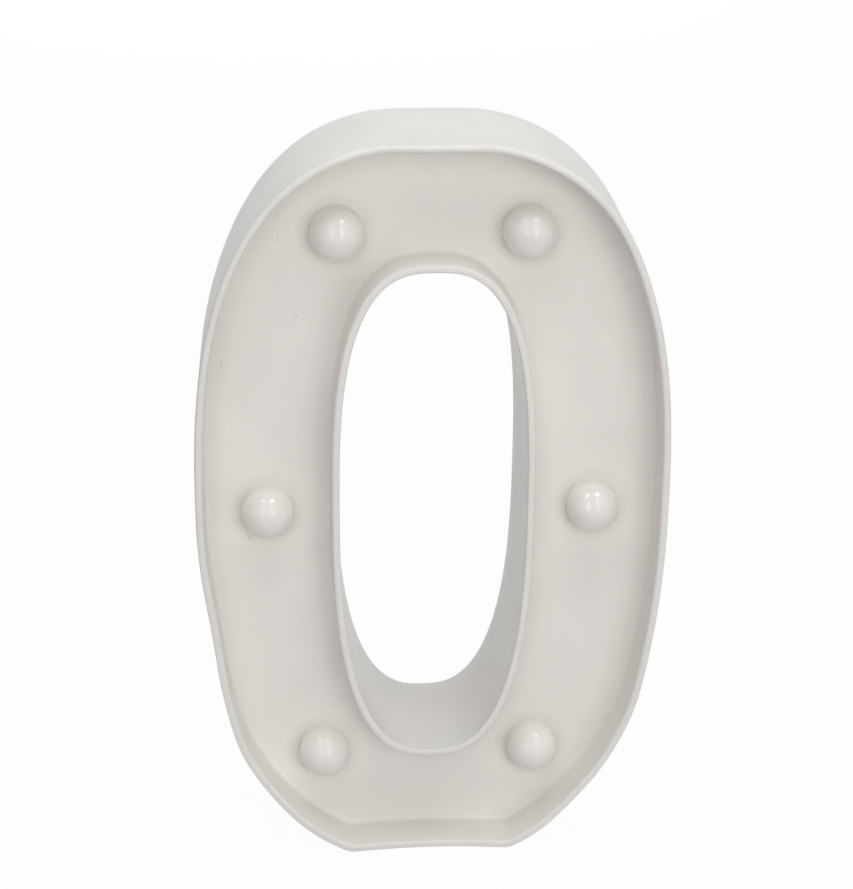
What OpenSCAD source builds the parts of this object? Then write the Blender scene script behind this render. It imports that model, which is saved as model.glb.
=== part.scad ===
// Light-up marquee digit: a white moulded zero with six milky bulbs in an open front channel,
// two AA cells behind a hinged door, and a slide switch in its back cover.
// The digit stands on the plane z = 0, centred on x = 0 and y = 0, and its front faces -Y.

/* [Body] */
// Height of the digit
body_height = 220; // [205:1:260]
// Width of the digit at its widest level
body_width = 135.5; // [125:0.5:170]
// Depth from the front rim to the back edge
body_depth = 42; // [40:0.5:60]
// Height of the widest level, where both ovals have their centre
centre_height = 114.7; // [108:0.1:120]
// Width of the flat on top
top_flat = 20; // [14:0.5:40]
// Width of the flat that the digit stands on
base_flat = 48; // [36:0.5:60]
// Fullness of the outer oval above its centre, where 2 is an ellipse
upper_fullness = 2.57; // [2.3:0.01:3]
// Fullness of the outer oval below its centre
lower_fullness = 2.41; // [2.2:0.01:3]
// Thickness of the outer wall and of the wall round the hole
wall = 2.2; // [1.6:0.1:2.6]

/* [Stroke] */
// Width of the two upright strokes at the widest level
side_stroke = 40.9; // [40:0.1:60]
// Width of the stroke at the top
top_stroke = 36.3; // [34:0.1:50]
// Width of the stroke at the bottom
base_stroke = 34.8; // [32:0.1:50]
// Fullness of the hole above its centre
hole_upper_fullness = 2.78; // [2.3:0.01:3.2]
// Fullness of the hole below its centre
hole_lower_fullness = 2.65; // [2.3:0.01:3.2]
// Thickness of the channel floor
floor_thickness = 2; // [1.5:0.1:3]

/* [Bulbs] */
// Radius of a bulb's ball
bulb_radius = 7.6; // [6.5:0.1:9]
// Straight neck of a bulb in front of the floor
bulb_neck = 2.3; // [0.5:0.1:3]
// Wall of a bulb
bulb_wall = 1.2; // [0.8:0.1:1.8]
// Width of the flange that holds a bulb behind the floor
bulb_flange = 1.8; // [1:0.1:3]
// Thickness of the flanges of bulbs and lamp holders
flange_thickness = 1.2; // [0.8:0.1:1.5]
// Room round a bulb in its floor hole
bulb_clearance = 0.15; // [0.1:0.05:0.4]
// Angle of the upper bulbs about the centre, up from level
upper_bulb_angle = 70.9; // [66:0.1:75]
// Angle of the middle bulbs
middle_bulb_angle = -7.1; // [-12:0.1:0]
// Angle of the lower bulbs
lower_bulb_angle = -69.7; // [-72:0.1:-66]
// Place of the lower bulbs across the stroke, from hole to outside
lower_bulb_share = 0.58; // [0.45:0.01:0.6]

/* [Lamps] */
// Radius of a lamp's clear body
lamp_radius = 2.5; // [2:0.1:3]
// Length of a lamp's clear body in front of its flange
lamp_length = 7.6; // [6:0.1:9]
// Radius of a lamp's flange
lamp_flange_radius = 2.9; // [2.8:0.1:3.4]
// Thickness of a lamp's flange
lamp_flange_thickness = 1; // [0.6:0.1:1.2]
// Spacing of a lamp's two leads
lead_spacing = 2.54; // [2.2:0.01:3]
// Width of a lead
lead_width = 0.5; // [0.4:0.05:0.6]
// Length of a lead behind the lamp
lead_length = 2.4; // [2:0.1:2.6]
// Room between the lamp leads and the battery tray
lead_clearance = 1.2; // [1.2:0.1:5]
// Length of a lamp holder's plug inside its bulb
plug_length = 3.6; // [2:0.1:5]
// Room round a plug in its bulb, and round a lamp in its plug
plug_clearance = 0.05; // [0.03:0.01:0.15]

/* [Back cover] */
// Thickness of the back cover
cover_thickness = 2.4; // [2.2:0.1:3]
// How far the cover lies inside the back edge
cover_recess = 1.5; // [1.4:0.1:3]
// Gap between the cover and the walls
cover_gap = 0.3; // [0.2:0.05:0.5]
// Radius of the keyhole's round entry
keyhole_entry_radius = 4; // [3.5:0.1:5]
// Width of the keyhole's slot
keyhole_slot_width = 4; // [3:0.1:5]
// Distance from the entry's centre to the slot's end centre
keyhole_rise = 8; // [6.5:0.1:10]

/* [Screws] */
// Radius of a cover screw's shank
screw_radius = 1.3; // [1:0.05:1.6]
// Length of a cover screw's shank in its post
screw_length = 9; // [7:0.5:14]
// Radius of a cover screw's head
screw_head_radius = 2.5; // [2.2:0.1:3.2]
// Height of a cover screw's head
screw_head_height = 1.3; // [0.8:0.1:1.4]
// Radius of the posts that take the cover screws
post_radius = 3.2; // [2.8:0.1:3.8]
// Room round a screw in the hole that it bites into
screw_clearance = 0.05; // [0.02:0.01:0.1]
// Room round a screw in the cover
cover_hole_clearance = 0.2; // [0.1:0.05:0.4]

/* [Cells] */
// Diameter of a cell
cell_diameter = 14.5; // [14:0.1:14.6]
// Length of a cell with its nub
cell_length = 50.5; // [49:0.1:51]
// Radius of a cell's nub
nub_radius = 2.75; // [2:0.05:3]
// Height of a cell's nub
nub_height = 1.3; // [1:0.1:1.8]
// Room round a cell
cell_gap = 0.4; // [0.3:0.05:0.5]

/* [Battery tray and door] */
// Wall of the battery tray
tray_wall = 1.2; // [1:0.05:1.4]
// Thickness of the door
door_thickness = 2; // [1.6:0.1:2.1]
// How far the door laps over the tray walls
door_lap = 0.6; // [0.5:0.05:0.8]
// Gap round the door
door_gap = 0.3; // [0.25:0.05:0.4]
// Radius of the door's hinge pins
hinge_pin_radius = 0.6; // [0.5:0.05:0.7]
// Length of a hinge pin beside the door
hinge_pin_length = 1.5; // [1.2:0.1:1.8]
// Running room round a hinge pin
hinge_clearance = 0.05; // [0.03:0.01:0.08]
// Width of the door's latch tongue
latch_width = 5; // [4:0.1:6]
// Reach of the latch tongue into the tray
latch_reach = 2.2; // [1.8:0.1:2.4]

/* [Contacts] */
// Thickness of the contact plates
contact_thickness = 0.4; // [0.3:0.05:0.6]
// Width of a single contact plate
contact_width = 9; // [8:0.1:10]
// Height of the contact plates
contact_height = 10.5; // [9:0.1:12]
// Small gap beside the contacts
contact_gap = 0.1; // [0.05:0.01:0.2]
// Room that a contact spring takes between plate and cell
spring_room = 5.5; // [5:0.1:7]
// Radius of a contact spring at its plate
spring_base_radius = 4.2; // [3.6:0.1:4.6]
// Radius of a contact spring at its cell
spring_tip_radius = 2.8; // [2.6:0.1:3.4]
// Radius of the spring wire
spring_wire_radius = 0.35; // [0.25:0.05:0.4]
// Turns of a contact spring
spring_turns = 3; // [2:0.5:3]
// Width of the solder tabs
tab_width = 2; // [1.5:0.1:3]
// Reach of the solder tabs past the tray
tab_reach = 3; // [2:0.1:4]
// How far in front of the cells' axes the solder tabs lie
tab_offset = 1; // [0:0.1:2]
// Room round a solder tab in its slot
tab_clearance = 0.2; // [0.1:0.05:0.3]

/* [Switch] */
// Angle of the switch about the centre
switch_angle = -43; // [-45:0.1:-41]
// Travel of the slider
switch_travel = 3; // [2:0.1:4]
// Length of the switch frame with its ears
switch_frame_length = 20; // [19:0.1:22]
// Length of the switch can
switch_can_length = 11; // [10.4:0.1:11.4]
// Width of the switch frame and can
switch_width = 6.4; // [6:0.1:8]
// Depth of the switch can
switch_can_depth = 4; // [3.8:0.1:5]
// Metal of the switch frame and can
switch_metal = 0.4; // [0.3:0.05:0.5]
// Spacing of the switch screws
switch_screw_spacing = 15.4; // [15.2:0.1:16]
// Radius of the switch screws
switch_screw_radius = 0.75; // [0.6:0.05:0.8]
// Length of the knob along its travel
knob_length = 3.4; // [3:0.1:4]
// Width of the knob
knob_width = 3; // [2.4:0.1:3.2]
// How far the knob stands proud of the cover
knob_proud = 1.1; // [0.6:0.1:1.3]
// Room round the moving slider
slider_gap = 0.3; // [0.2:0.05:0.4]

/* [Wiring] */
// Radius of the insulated wires
wire_radius = 0.65; // [0.4:0.05:0.7]
// How far the wires bow away from the middle of the stroke
wire_bow = 7; // [6:0.1:8]
// Radius of the resistor
resistor_radius = 1.2; // [0.9:0.1:1.6]
// Length of the resistor without its leads
resistor_length = 6.3; // [5:0.1:7]
// Length of each resistor lead
resistor_lead = 5; // [4:0.1:6]

/* [Hidden] */
$fn = 64;
// Straight steps along each side of an outline
outline_steps = 60;
// Reach of a cutter past the face that it opens
past = 1;
// Overlap of two solids that are moulded as one
merge = 0.5;

// The lamps, the battery tray and its door are stacked behind the channel, which has the rest of the depth
works_depth = floor_thickness + 2 * flange_thickness + lamp_flange_thickness + lead_length + lead_clearance
    + tray_wall + cell_diameter + 2 * cell_gap + door_thickness + cover_recess;
channel_depth = body_depth - works_depth;

// Planes from front to back
front_y = -body_depth / 2;
back_y = body_depth / 2;
floor_front_y = front_y + channel_depth;
floor_back_y = floor_front_y + floor_thickness;
cover_back_y = back_y - cover_recess;
cover_front_y = cover_back_y - cover_thickness;

// The outer oval runs through the corners of both flats
outer_half = body_width / 2;
outer_top_half = (body_height - centre_height)
    / pow(1 - pow(top_flat / body_width, upper_fullness), 1 / upper_fullness);
outer_base_half = centre_height
    / pow(1 - pow(base_flat / body_width, lower_fullness), 1 / lower_fullness);
top_angle = atan2(body_height - centre_height, top_flat / 2);
base_angle = -atan2(centre_height, base_flat / 2);

// The hole follows from the strokes
hole_half = outer_half - side_stroke;
hole_top_half = body_height - top_stroke - centre_height;
hole_base_half = centre_height - base_stroke;

function mix(a, b, t) = a + (b - a) * t;
function unit(v) = v / norm(v);
function at(radius, angle) = [radius * cos(angle), centre_height + radius * sin(angle)];
function oval(angle, width, height, fullness) =
    pow(pow(abs(cos(angle)) / width, fullness) + pow(abs(sin(angle)) / height, fullness), -1 / fullness);
function outer_radius(angle) = sin(angle) >= 0
    ? oval(angle, outer_half, outer_top_half, upper_fullness)
    : oval(angle, outer_half, outer_base_half, lower_fullness);
function hole_radius(angle) = sin(angle) >= 0
    ? oval(angle, hole_half, hole_top_half, hole_upper_fullness)
    : oval(angle, hole_half, hole_base_half, hole_lower_fullness);
// Half width of the outer oval at a height above or below its centre
function outer_width_at(rise) = rise >= 0
    ? outer_half * pow(1 - pow(rise / outer_top_half, upper_fullness), 1 / upper_fullness)
    : outer_half * pow(1 - pow(-rise / outer_base_half, lower_fullness), 1 / lower_fullness);
// Radius of a point across the stroke, from the hole (0) to the outside (1)
function stroke_radius(angle, share) = mix(hole_radius(angle), outer_radius(angle), share);
function stroke_point(angle, share) = at(stroke_radius(angle, share), angle);

// Both outlines run counterclockwise
outer_angles = concat(
    [for (i = [0:outline_steps]) mix(base_angle, top_angle, i / outline_steps)],
    [for (i = [0:outline_steps]) mix(180 - top_angle, 180 - base_angle, i / outline_steps)]);
outer_line = [for (angle = outer_angles) at(outer_radius(angle), angle)];
hole_line = [for (i = [0:2 * outline_steps - 1])
    let (angle = 180 * i / outline_steps) at(hole_radius(angle), angle)];
function edge_normal(a, b) = let (d = unit(b - a)) [d.y, -d.x];
function grown(points, distance) = let (n = len(points))
    [for (i = [0:n - 1])
        let (before = edge_normal(points[(i + n - 1) % n], points[i]),
             after = edge_normal(points[i], points[(i + 1) % n]))
        points[i] + (before + after) * distance / (1 + before * after)];

// Six bulbs, from the lower right round the top to the lower left
right_bulbs = [[lower_bulb_angle, lower_bulb_share], [middle_bulb_angle, 0.5], [upper_bulb_angle, 0.5]];
bulbs = concat(right_bulbs, [for (i = [2:-1:0]) [180 - right_bulbs[i][0], right_bulbs[i][1]]]);
bulb_count = len(bulbs);
ball_y = floor_front_y - bulb_neck;
bulb_flange_back_y = floor_back_y + flange_thickness;
holder_back_y = bulb_flange_back_y + flange_thickness;
plug_front_y = bulb_flange_back_y - plug_length;
holder_flange_radius = bulb_radius + bulb_flange / 2;
lamp_back_y = holder_back_y + lamp_flange_thickness;
lead_back_y = lamp_back_y + lead_length;

// Cover screws: angle about the centre and place across the stroke
// The lower pair stands on the line between the lower and middle bulbs, clear of the wires beside it
low_screw_place = 0.235;
low_screw_angle = mix(lower_bulb_angle, middle_bulb_angle, low_screw_place);
low_screw_share = mix(lower_bulb_share, 0.5, low_screw_place);
right_screws = [[low_screw_angle, low_screw_share], [54, 0.5], [81, 0.78]];
screw_places = concat([[-90, 0.5]], right_screws, [for (place = right_screws) [180 - place[0], place[1]]]);

// Battery tray behind the right-hand stroke, on the widest level
door_front_y = cover_back_y - door_thickness;
cell_y = door_front_y - cell_gap - cell_diameter / 2;
tray_floor_y = cell_y - cell_diameter / 2 - cell_gap;
tray_width = 2 * cell_diameter + 3 * cell_gap;
tray_length = cell_length + spring_room + 2 * contact_thickness + 3 * contact_gap;
tray_low = centre_height - tray_length / 2;
tray_high = centre_height + tray_length / 2;
tray_reach = tray_length / 2 + tray_wall;
tray_x = (hole_half + min(outer_width_at(tray_reach), outer_width_at(-tray_reach))) / 2;
cell_offset = (cell_diameter + cell_gap) / 2;
contact_low = tray_low + contact_gap + contact_thickness;
contact_high = tray_high - contact_gap - contact_thickness;

// Door, hinged along its upper edge
door_width = tray_width + 2 * (door_lap - door_gap);
hinge_y = cover_back_y - door_thickness / 2;
hinge_z = tray_high + door_lap - door_gap - door_thickness / 2;
door_low = tray_low - door_lap + door_gap;
latch_thickness = 1;
latch_bead_radius = 0.4;
latch_low = tray_low + latch_bead_radius + 2 * door_gap;

// Switch below the door
switch_at = stroke_point(switch_angle, 0.5);
switch_post_height = 1.2;
switch_post_radius = 2.2;
frame_back_y = cover_front_y - switch_post_height;
frame_front_y = frame_back_y - switch_metal;
can_front_y = frame_front_y - switch_can_depth;
switch_base_thickness = 1.2;
switch_base_gap = 0.1;
switch_base_back_y = can_front_y + switch_base_thickness;
carriage_margin = 1.3;
carriage_length = knob_length + carriage_margin;
carriage_width = knob_width + carriage_margin;
slot_length = knob_length + switch_travel + 2 * slider_gap;
slot_width = knob_width + 2 * slider_gap;
slot_margin = 0.4;
switch_hole_clearance = 0.25;
switch_head_radius = 1.6;
switch_head_height = 0.9;
switch_screw_bite = 2.6;
terminal_spacing = 3;
terminal_width = 1;
terminal_length = 3.5;
terminal_thickness = 0.5;
terminal_y = can_front_y - terminal_length / 2;

// Wires and the resistor between the tray, the switch and the lamps
wire_y = lamp_back_y + lead_length / 2;
wire_sides = 6;
wire_rings = 14;
joint_gap = 0.35;
tab_y = cell_y - tab_offset;
tab_low = tray_low - tray_wall - tab_reach;
resistor_lead_radius = 0.3;
resistor_x = switch_at.x + terminal_spacing;
resistor_high = switch_at.y - terminal_thickness / 2 - joint_gap;
resistor_low = resistor_high - resistor_length - 2 * resistor_lead;

// Shapes shared by the parts

// A flat shape in the x-z plane, given depth along y
module slab(from_y, to_y) {
    translate([0, to_y, 0]) rotate([90, 0, 0]) linear_extrude(to_y - from_y) children();
}

// A round bar along y
module rod(place, from_y, to_y, radius) {
    translate([place.x, from_y, place.y]) rotate([-90, 0, 0]) cylinder(h = to_y - from_y, r = radius);
}

// A box between two corners
module block(low, high) {
    translate(low) cube(high - low);
}

// The stroke of the digit, less a margin inside both outlines
module stroke(margin) {
    difference() {
        polygon(grown(outer_line, -margin));
        polygon(grown(hole_line, margin));
    }
}

// Puts its children at a bulb, with local x pointing away from the centre of the digit
module at_bulb(index) {
    place = stroke_point(bulbs[index][0], bulbs[index][1]);
    translate([place.x, 0, place.y]) rotate([0, -bulbs[index][0], 0]) children();
}

// A tube along a path, each ring turned towards its own reference direction
function path_direction(path, i) = unit(path[min(i + 1, len(path) - 1)] - path[max(i - 1, 0)]);
function path_ring(path, reference, i, radius, sides) =
    let (d = path_direction(path, i), a = unit(reference - (reference * d) * d), b = cross(d, a))
    [for (k = [0:sides - 1]) path[i] + radius * (cos(360 * k / sides) * a + sin(360 * k / sides) * b)];
module tube(path, references, radius, sides) {
    last = len(path) - 1;
    points = [for (i = [0:last]) each path_ring(path, references[i], i, radius, sides)];
    side_faces = [for (i = [0:last - 1], k = [0:sides - 1])
        let (here = i * sides, next = here + sides, m = (k + 1) % sides)
        each [[here + k, next + m, here + m], [here + k, next + k, next + m]]];
    end_faces = [for (k = [1:sides - 2])
        each [[0, k, k + 1], [last * sides, last * sides + k + 1, last * sides + k]]];
    polyhedron(points, concat(side_faces, end_faces));
}
module wire(path) {
    tube(path, [for (p = path) [0, 1, 0]], wire_radius, wire_sides);
}

// Moulded parts

module front_shell() {
    color("white") difference() {
        slab(front_y, back_y) polygon(outer_line);
        slab(front_y - past, back_y + past) polygon(hole_line);
        slab(front_y - past, floor_front_y) stroke(wall);
        difference() {
            slab(floor_back_y, back_y + past) stroke(wall);
            for (place = screw_places) screw_post(stroke_point(place[0], place[1]));
        }
        for (bulb = bulbs)
            rod(stroke_point(bulb[0], bulb[1]), floor_front_y - past, floor_back_y + past,
                bulb_radius + bulb_clearance);
    }
}

// A post behind the channel floor, with the hole for its screw
module screw_post(place) {
    difference() {
        rod(place, floor_front_y, cover_front_y, post_radius);
        rod(place, cover_front_y - screw_length - past, back_y, screw_radius + screw_clearance);
    }
}

module back_cover() {
    color("whitesmoke") difference() {
        union() {
            slab(cover_front_y, cover_back_y) stroke(wall + cover_gap);
            block([tray_x - tray_width / 2 - tray_wall, tray_floor_y - tray_wall, tray_low - tray_wall],
                  [tray_x + tray_width / 2 + tray_wall, cover_front_y + merge, tray_high + tray_wall]);
            for (side = [-1, 1])
                rod(switch_at + [side * switch_screw_spacing / 2, 0], frame_back_y, cover_front_y + merge,
                    switch_post_radius);
        }
        tray_hollow();
        door_opening();
        switch_openings();
        keyhole();
        for (place = screw_places)
            rod(stroke_point(place[0], place[1]), cover_front_y - past, cover_back_y + past,
                screw_radius + cover_hole_clearance);
    }
}

// The room for the cells, and the slots for the solder tabs
module tray_hollow() {
    block([tray_x - tray_width / 2, tray_floor_y, tray_low],
          [tray_x + tray_width / 2, cover_back_y + past, tray_high]);
    for (side = [-1, 1])
        translate([tray_x + side * cell_offset, tab_y, tray_low - tray_wall / 2])
            cube([tab_width + 2 * tab_clearance, contact_thickness + 2 * tab_clearance, tray_wall + 2 * past],
                 center = true);
}

// The opening that the door closes, with the sockets for its hinge pins
module door_opening() {
    half = tray_width / 2 + door_lap;
    block([tray_x - half, cover_front_y, tray_low - door_lap],
          [tray_x + half, cover_back_y + past, tray_high + door_lap]);
    socket_half = door_width / 2 + hinge_pin_length + door_gap;
    translate([tray_x - socket_half, hinge_y, hinge_z]) rotate([0, 90, 0])
        cylinder(h = 2 * socket_half, r = hinge_pin_radius + hinge_clearance);
}

module switch_openings() {
    switch_box([slot_length + 2 * slot_margin, slot_width + 2 * slot_margin],
               cover_front_y - past, cover_back_y + past);
    for (side = [-1, 1])
        rod(switch_at + [side * switch_screw_spacing / 2, 0],
            frame_back_y - past, frame_back_y + switch_screw_bite, switch_screw_radius + screw_clearance);
}

// A round entry with a slot above it, for a screw in a wall
module keyhole() {
    entry = [0, body_height - top_stroke / 2 - keyhole_rise / 2];
    rod(entry, cover_front_y - past, cover_back_y + past, keyhole_entry_radius);
    rod(entry + [0, keyhole_rise], cover_front_y - past, cover_back_y + past, keyhole_slot_width / 2);
    block([-keyhole_slot_width / 2, cover_front_y - past, entry.y],
          [keyhole_slot_width / 2, cover_back_y + past, entry.y + keyhole_rise]);
}

module battery_door() {
    color("whitesmoke") {
        block([tray_x - door_width / 2, door_front_y, door_low],
              [tray_x + door_width / 2, cover_back_y, hinge_z]);
        translate([tray_x - door_width / 2, hinge_y, hinge_z]) rotate([0, 90, 0])
            cylinder(h = door_width, r = door_thickness / 2);
        translate([tray_x - door_width / 2 - hinge_pin_length, hinge_y, hinge_z]) rotate([0, 90, 0])
            cylinder(h = door_width + 2 * hinge_pin_length, r = hinge_pin_radius);
        block([tray_x - latch_width / 2, door_front_y - latch_reach, latch_low],
              [tray_x + latch_width / 2, door_front_y + merge, latch_low + latch_thickness]);
        translate([tray_x - latch_width / 2, door_front_y - latch_reach / 2, latch_low]) rotate([0, 90, 0])
            cylinder(h = latch_width, r = latch_bead_radius);
    }
}

// Bulbs and lamps

// A bulb turned about its axis: half a ball on a hollow neck, with a flange behind the floor
module bulb_cap(index) {
    neck = bulb_flange_back_y - ball_y;
    inside = bulb_radius - bulb_wall;
    color("ivory") at_bulb(index) translate([0, ball_y, 0]) rotate([90, 0, 0]) rotate_extrude()
        difference() {
            union() {
                intersection() {
                    circle(bulb_radius);
                    square(bulb_radius);
                }
                translate([0, -neck]) square([bulb_radius, neck]);
                translate([0, -neck]) square([bulb_radius + bulb_flange, flange_thickness]);
            }
            circle(inside);
            translate([0, -neck - past]) square([inside, neck + past]);
        }
}

module lamp_holder(index) {
    color("gainsboro") at_bulb(index) difference() {
        union() {
            rod([0, 0], plug_front_y, holder_back_y, bulb_radius - bulb_wall - plug_clearance);
            rod([0, 0], bulb_flange_back_y, holder_back_y, holder_flange_radius);
        }
        rod([0, 0], plug_front_y - past, holder_back_y + past, lamp_radius + plug_clearance);
    }
}

module lamp(index) {
    color("lightyellow") at_bulb(index) {
        translate([0, holder_back_y - lamp_length + lamp_radius, 0]) sphere(lamp_radius);
        rod([0, 0], holder_back_y - lamp_length + lamp_radius, lamp_back_y, lamp_radius);
        rod([0, 0], holder_back_y, lamp_back_y, lamp_flange_radius);
    }
}

module lamp_leads(index) {
    color("silver") at_bulb(index)
        for (side = [-1, 1])
            translate([side * lead_spacing / 2, (lamp_back_y + lead_back_y) / 2, 0])
                cube([lead_width, lead_length, lead_width], center = true);
}

// Cells and contacts

// Each cell stands on end: the first with its nub up, the second with its nub down
module cell(side) {
    foot_z = side < 0 ? contact_low + spring_room : contact_high - spring_room;
    translate([tray_x + side * cell_offset, cell_y, foot_z])
        mirror([0, 0, side < 0 ? 0 : 1]) {
            cylinder(h = cell_length - nub_height, d = cell_diameter);
            cylinder(h = cell_length, r = nub_radius);
        }
}
module battery_cell_1() { color("dimgray") cell(-1); }
module battery_cell_2() { color("dimgray") cell(1); }

module contact_plate(from_x, to_x, low_z) {
    block([from_x, cell_y - contact_height / 2, low_z],
          [to_x, cell_y + contact_height / 2, low_z + contact_thickness]);
}
module contact_bridge() {
    reach = cell_offset + contact_width / 2;
    color("silver") contact_plate(tray_x - reach, tray_x + reach, contact_high);
}
module end_contact(side) {
    x = tray_x + side * cell_offset;
    contact_plate(x - contact_width / 2, x + contact_width / 2, tray_low + contact_gap);
    block([x - tab_width / 2, tab_y - contact_thickness / 2, tab_low],
          [x + tab_width / 2, tab_y + contact_thickness / 2, contact_low]);
}
module contact_positive() { color("silver") end_contact(1); }
module contact_negative() { color("silver") end_contact(-1); }

// A cone spring on its plate, with straight ends one wire diameter long
spring_rise = spring_room - 2 * contact_gap;
spring_tail = 2 * spring_wire_radius;
rings_per_turn = 8;
spring_rings = rings_per_turn * spring_turns;
function spring_turn(i) = 360 * spring_turns * i / spring_rings;
function spring_point(i) = let (t = i / spring_rings, r = mix(spring_base_radius, spring_tip_radius, t))
    [r * cos(spring_turn(i)), r * sin(spring_turn(i)), mix(spring_tail, spring_rise - spring_tail, t)];
spring_coil = [for (i = [0:spring_rings]) spring_point(i)];
spring_path = concat([spring_coil[0] - [0, 0, spring_tail]], spring_coil,
    [spring_coil[spring_rings] + [0, 0, spring_tail]]);
spring_turned = [for (i = [-1:spring_rings + 1]) let (turn = spring_turn(min(max(i, 0), spring_rings)))
    [cos(turn), sin(turn), 0]];
// Least gap between points of the spring that are more than half a turn apart
half_turn = rings_per_turn / 2 + 1;
spring_gap = min([for (i = [0:spring_rings - half_turn], k = [i + half_turn:spring_rings])
    norm(spring_coil[i] - spring_coil[k])]) - 2 * spring_wire_radius;
echo(spring_gap = spring_gap);
module contact_spring(side) {
    foot_z = side < 0 ? contact_low + contact_gap : contact_high - contact_gap;
    translate([tray_x + side * cell_offset, cell_y, foot_z])
        mirror([0, 0, side < 0 ? 0 : 1])
            tube(spring_path, spring_turned, spring_wire_radius, wire_sides);
}
module contact_spring_1() { color("silver") contact_spring(-1); }
module contact_spring_2() { color("silver") contact_spring(1); }

// Slide switch

// A box on the switch's axis, with its length along x and its width along z
module switch_box(size, from_y, to_y, shift = 0) {
    block([switch_at.x + shift - size.x / 2, from_y, switch_at.y - size.y / 2],
          [switch_at.x + shift + size.x / 2, to_y, switch_at.y + size.y / 2]);
}
module switch_frame() {
    color("silver") difference() {
        union() {
            switch_box([switch_frame_length, switch_width], frame_front_y, frame_back_y);
            switch_box([switch_can_length, switch_width], can_front_y, frame_back_y);
        }
        switch_box([switch_can_length - 2 * switch_metal, switch_width - 2 * switch_metal],
                   can_front_y - past, frame_front_y);
        switch_box([slot_length, slot_width], frame_front_y - past, frame_back_y + past);
        for (side = [-1, 1])
            rod(switch_at + [side * switch_screw_spacing / 2, 0], frame_front_y - past, frame_back_y + past,
                switch_screw_radius + switch_hole_clearance);
    }
}
module switch_base() {
    margin = 2 * (switch_metal + switch_base_gap);
    color("saddlebrown")
        switch_box([switch_can_length - margin, switch_width - margin], can_front_y, switch_base_back_y);
}
module switch_terminals() {
    color("silver")
        for (place = [-1, 0, 1])
            translate([switch_at.x + place * terminal_spacing, terminal_y, switch_at.y])
                cube([terminal_width, terminal_length, terminal_thickness], center = true);
}
module switch_slider() {
    shift = -switch_travel / 2;
    carriage_front_y = switch_base_back_y + slider_gap;
    color("black") {
        switch_box([carriage_length, carriage_width], carriage_front_y, frame_front_y - slider_gap, shift);
        switch_box([knob_length, knob_width], carriage_front_y, cover_back_y + knob_proud, shift);
    }
}
module switch_screws() {
    color("silver")
        for (side = [-1, 1]) {
            place = switch_at + [side * switch_screw_spacing / 2, 0];
            rod(place, frame_front_y - switch_head_height, frame_front_y, switch_head_radius);
            rod(place, frame_front_y - switch_head_height, frame_back_y + switch_screw_bite - contact_gap,
                switch_screw_radius);
        }
}

// Cover screws, driven from behind
module cover_screws() {
    color("silver")
        for (place = screw_places) {
            point = stroke_point(place[0], place[1]);
            rod(point, cover_back_y, cover_back_y + screw_head_height, screw_head_radius);
            rod(point, cover_front_y - screw_length, cover_back_y + screw_head_height, screw_radius);
        }
}

// Wiring

// A wire from one lamp to the next, bowed to the outer (1) or inner (-1) side of the stroke
function link_path(index, side) =
    let (first = bulbs[index], last = bulbs[index + 1],
         step = lead_width / 2 + joint_gap,
         trim_first = step / stroke_radius(first[0], first[1]) * 180 / PI,
         trim_last = step / stroke_radius(last[0], last[1]) * 180 / PI)
    [for (i = [0:wire_rings])
        let (t = i / wire_rings,
             angle = mix(first[0] + trim_first, last[0] - trim_last, t),
             bow = side * (lead_spacing / 2 + wire_bow * sin(180 * t)),
             point = at(stroke_radius(angle, mix(first[1], last[1], t)) + bow, angle))
        [point.x, wire_y, point.y]];
function curve(a, b, c, d) = [for (i = [0:wire_rings])
    let (t = i / wire_rings, s = 1 - t)
    s * s * s * a + 3 * s * s * t * b + 3 * s * t * t * c + t * t * t * d];
// The free face of the first lamp's outer (1) or inner (-1) lead, and the way out from it
feed_way = [sin(bulbs[0][0]), 0, -cos(bulbs[0][0])];
function feed_end(side) =
    let (p = at(stroke_radius(bulbs[0][0], bulbs[0][1]) + side * lead_spacing / 2, bulbs[0][0]))
    [p.x, wire_y, p.y] + (lead_width / 2 + joint_gap) * feed_way;
// A feed wire leaves its lead and turns back behind the lamp, passing a screw post on one side
function feed_path(start, side) =
    curve(start, start + [side * wire_bow, 0, -3 * wire_bow],
          feed_end(side) + 2 * wire_bow * feed_way + [0, wire_bow, 0], feed_end(side));

module wire_red() {
    tab_end = [tray_x + cell_offset, tab_y, tab_low - joint_gap];
    terminal_end = [switch_at.x, terminal_y, switch_at.y + terminal_thickness / 2 + joint_gap];
    reach = [0, 0, (tab_end.z - terminal_end.z) / 2];
    color("firebrick") {
        for (i = [0:bulb_count - 2]) wire(link_path(i, 1));
        wire(curve(tab_end, tab_end - reach, terminal_end + reach, terminal_end));
        wire(feed_path([resistor_x, terminal_y, resistor_low - joint_gap], 1));
    }
}
module wire_black() {
    color("black") {
        for (i = [0:bulb_count - 2]) wire(link_path(i, -1));
        wire(feed_path([tray_x - cell_offset, tab_y, tab_low - joint_gap], -1));
    }
}
module resistor() {
    color("tan") translate([resistor_x, terminal_y, resistor_low]) {
        translate([0, 0, resistor_lead]) cylinder(h = resistor_length, r = resistor_radius);
        cylinder(h = resistor_high - resistor_low, r = resistor_lead_radius);
    }
}

front_shell();
back_cover();
battery_door();
battery_cell_1();
battery_cell_2();
contact_bridge();
contact_positive();
contact_negative();
contact_spring_1();
contact_spring_2();
switch_frame();
switch_base();
switch_terminals();
switch_slider();
switch_screws();
cover_screws();
wire_red();
wire_black();
resistor();
for (i = [1:bulb_count]) {
    bulb_cap(i - 1);
    lamp_holder(i - 1);
    lamp(i - 1);
    lamp_leads(i - 1);
}
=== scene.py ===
import math

import bmesh
import bpy
from mathutils import Matrix, Vector


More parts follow.
